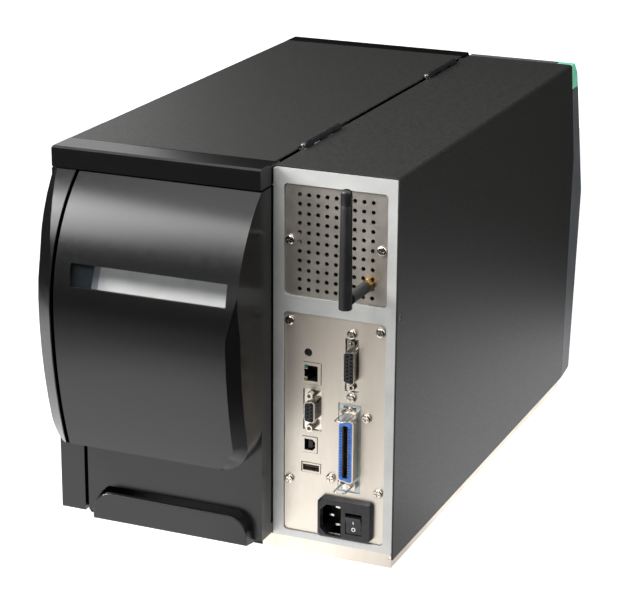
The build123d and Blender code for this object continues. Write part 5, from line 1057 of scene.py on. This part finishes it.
class PRINTER_OT_ribbon_spindles(Step, bpy.types.Operator):
    """Ribbon supply and take-up spindles"""
    bl_idname = "printer.ribbon_spindles"
    bl_label = "Ribbon spindles"

    def execute(self, context):
        for node in ("ribbon_supply", "ribbon_takeup"):
            dress(node, context.scene.printer_sizes.part_edge * 2)
        return {"FINISHED"}


class PRINTER_OT_stage(Step, bpy.types.Operator):
    """Pale floor, soft lights and the camera"""
    bl_idname = "printer.stage"
    bl_label = "Studio"

    def execute(self, context):
        scene = context.scene
        below_feet = 0.2 * MM
        for name, radius, finish in (("studio_floor", 9.0, "floor_paper"),
                                     ("studio_glow", 1.2, "table_glow")):
            rest()
            bpy.ops.mesh.primitive_circle_add(vertices=96, radius=radius, fill_type="NGON",
                                              location=(0, 0, -below_feet))
            floor = settle(context.object, name)
            choose(floor)
            bpy.ops.mesh.inset(thickness=radius / 20)
            floor.data.materials.append(bpy.data.materials[finish])
            rest()
            mirrored = finish == "table_glow"
            floor.visible_glossy = mirrored
            floor.visible_camera = floor.visible_diffuse = not mirrored

        # The air is white where the camera sees it and nearly dark to all that it lights
        world = bpy.data.worlds.new("studio_air")
        world.use_nodes = True
        air = world.node_tree.nodes["Background"]
        seen = add(world, "LightPath").outputs["Is Camera Ray"]
        level = add(world, "MapRange", {"To Min": 0.005}, Value=seen)
        world.node_tree.links.new(level.outputs["Result"], air.inputs["Strength"])
        air.inputs["Color"].default_value = (1.0, 1.0, 1.0, 1.0)
        scene.world = world
        scene.view_settings.view_transform = "Standard"

        # Softboxes: place and size in metres and power in watts, all turned to one point
        aim = Vector((0.0, 0.1, 0.18))
        for name, place, size, power in (
                ("key_softbox", (1.1, 0.7, 0.95), (0.6, 0.6), 30.0),
                ("rear_left_softbox", (0.8, 0.9, 1.1), (0.6, 0.6), 9.0),
                ("rear_softbox", (0.15, 1.15, 1.25), (0.5, 0.5), 11.0),
                ("low_softbox", (0.35, 2.0, 0.45), (0.8, 0.5), 1.8),
                ("top_softbox", (0.3, 0.15, 1.7), (1.2, 1.1), 7.0),
                ("top_right_softbox", (-0.7, 0.1, 1.6), (0.8, 1.0), 15.0),
                ("front_softbox", (0.9, -0.75, 0.75), (0.7, 0.8), 2.0),
                ("right_softbox", (-1.6, 0.3, 1.1), (0.8, 1.3), 9.5)):
            light = bpy.data.lights.new(name, "AREA")
            light.shape = "RECTANGLE"
            light.size, light.size_y = size
            light.energy = power
            lamp = bpy.data.objects.new(name, light)
            lamp.location = place
            lamp.rotation_euler = (aim - Vector(place)).to_track_quat("-Z", "Y").to_euler()
            context.collection.objects.link(lamp)

        lens = bpy.data.cameras.new("photo_camera")
        lens.sensor_width = SENSOR_WIDTH
        lens.lens = SENSOR_WIDTH * FOCAL_PX / PHOTO_WIDTH_PX
        camera = bpy.data.objects.new("photo_camera", lens)
        turn = (Matrix.Rotation(math.radians(CAMERA_BEARING), 4, "Z")
                @ Matrix.Rotation(math.radians(90 - CAMERA_DIP), 4, "X")
                @ Matrix.Rotation(math.radians(CAMERA_ROLL), 4, "Z"))
        camera.matrix_world = Matrix.Translation(CAMERA_PLACE * MM) @ turn
        context.collection.objects.link(camera)
        scene.camera = camera
        return {"FINISHED"}


STEPS = (
    PRINTER_OT_finishes,
    PRINTER_OT_sheet_covers,
    PRINTER_OT_moulded_covers,
    PRINTER_OT_frame,
    PRINTER_OT_hinges,
    PRINTER_OT_network_jack,
    PRINTER_OT_serial_ports,
    PRINTER_OT_usb_sockets,
    PRINTER_OT_parallel_port,
    PRINTER_OT_mains_inlet,
    PRINTER_OT_antenna,
    PRINTER_OT_control_panel,
    PRINTER_OT_label_roll,
    PRINTER_OT_print_mechanism,
    PRINTER_OT_ribbon_spindles,
    PRINTER_OT_stage,
)


class PRINTER_PT_panel(bpy.types.Panel):
    """Steps and settings of the printer"""
    bl_idname = "PRINTER_PT_panel"
    bl_label = "Thermal transfer printer"
    bl_space_type = "VIEW_3D"
    bl_region_type = "UI"
    bl_category = "Printer"

    def draw(self, context):
        layout = self.layout
        for group in (context.scene.printer_colours, context.scene.printer_sizes):
            box = layout.box()
            for name in group.bl_rna.properties.keys():
                if name not in ("rna_type", "name"):
                    box.prop(group, name)
        for step in STEPS:
            layout.operator(step.bl_idname)


CLASSES = (PrinterColours, PrinterSizes, *STEPS, PRINTER_PT_panel)


def register():
    for made in CLASSES:
        bpy.utils.register_class(made)
    bpy.types.Scene.printer_colours = bpy.props.PointerProperty(type=PrinterColours)
    bpy.types.Scene.printer_sizes = bpy.props.PointerProperty(type=PrinterSizes)


def unregister():
    del bpy.types.Scene.printer_sizes
    del bpy.types.Scene.printer_colours
    for made in reversed(CLASSES):
        bpy.utils.unregister_class(made)


def main():
    register()
    for step in STEPS:
        group, name = step.bl_idname.split(".")
        getattr(getattr(bpy.ops, group), name)()


if __name__ == "__main__":
    main()
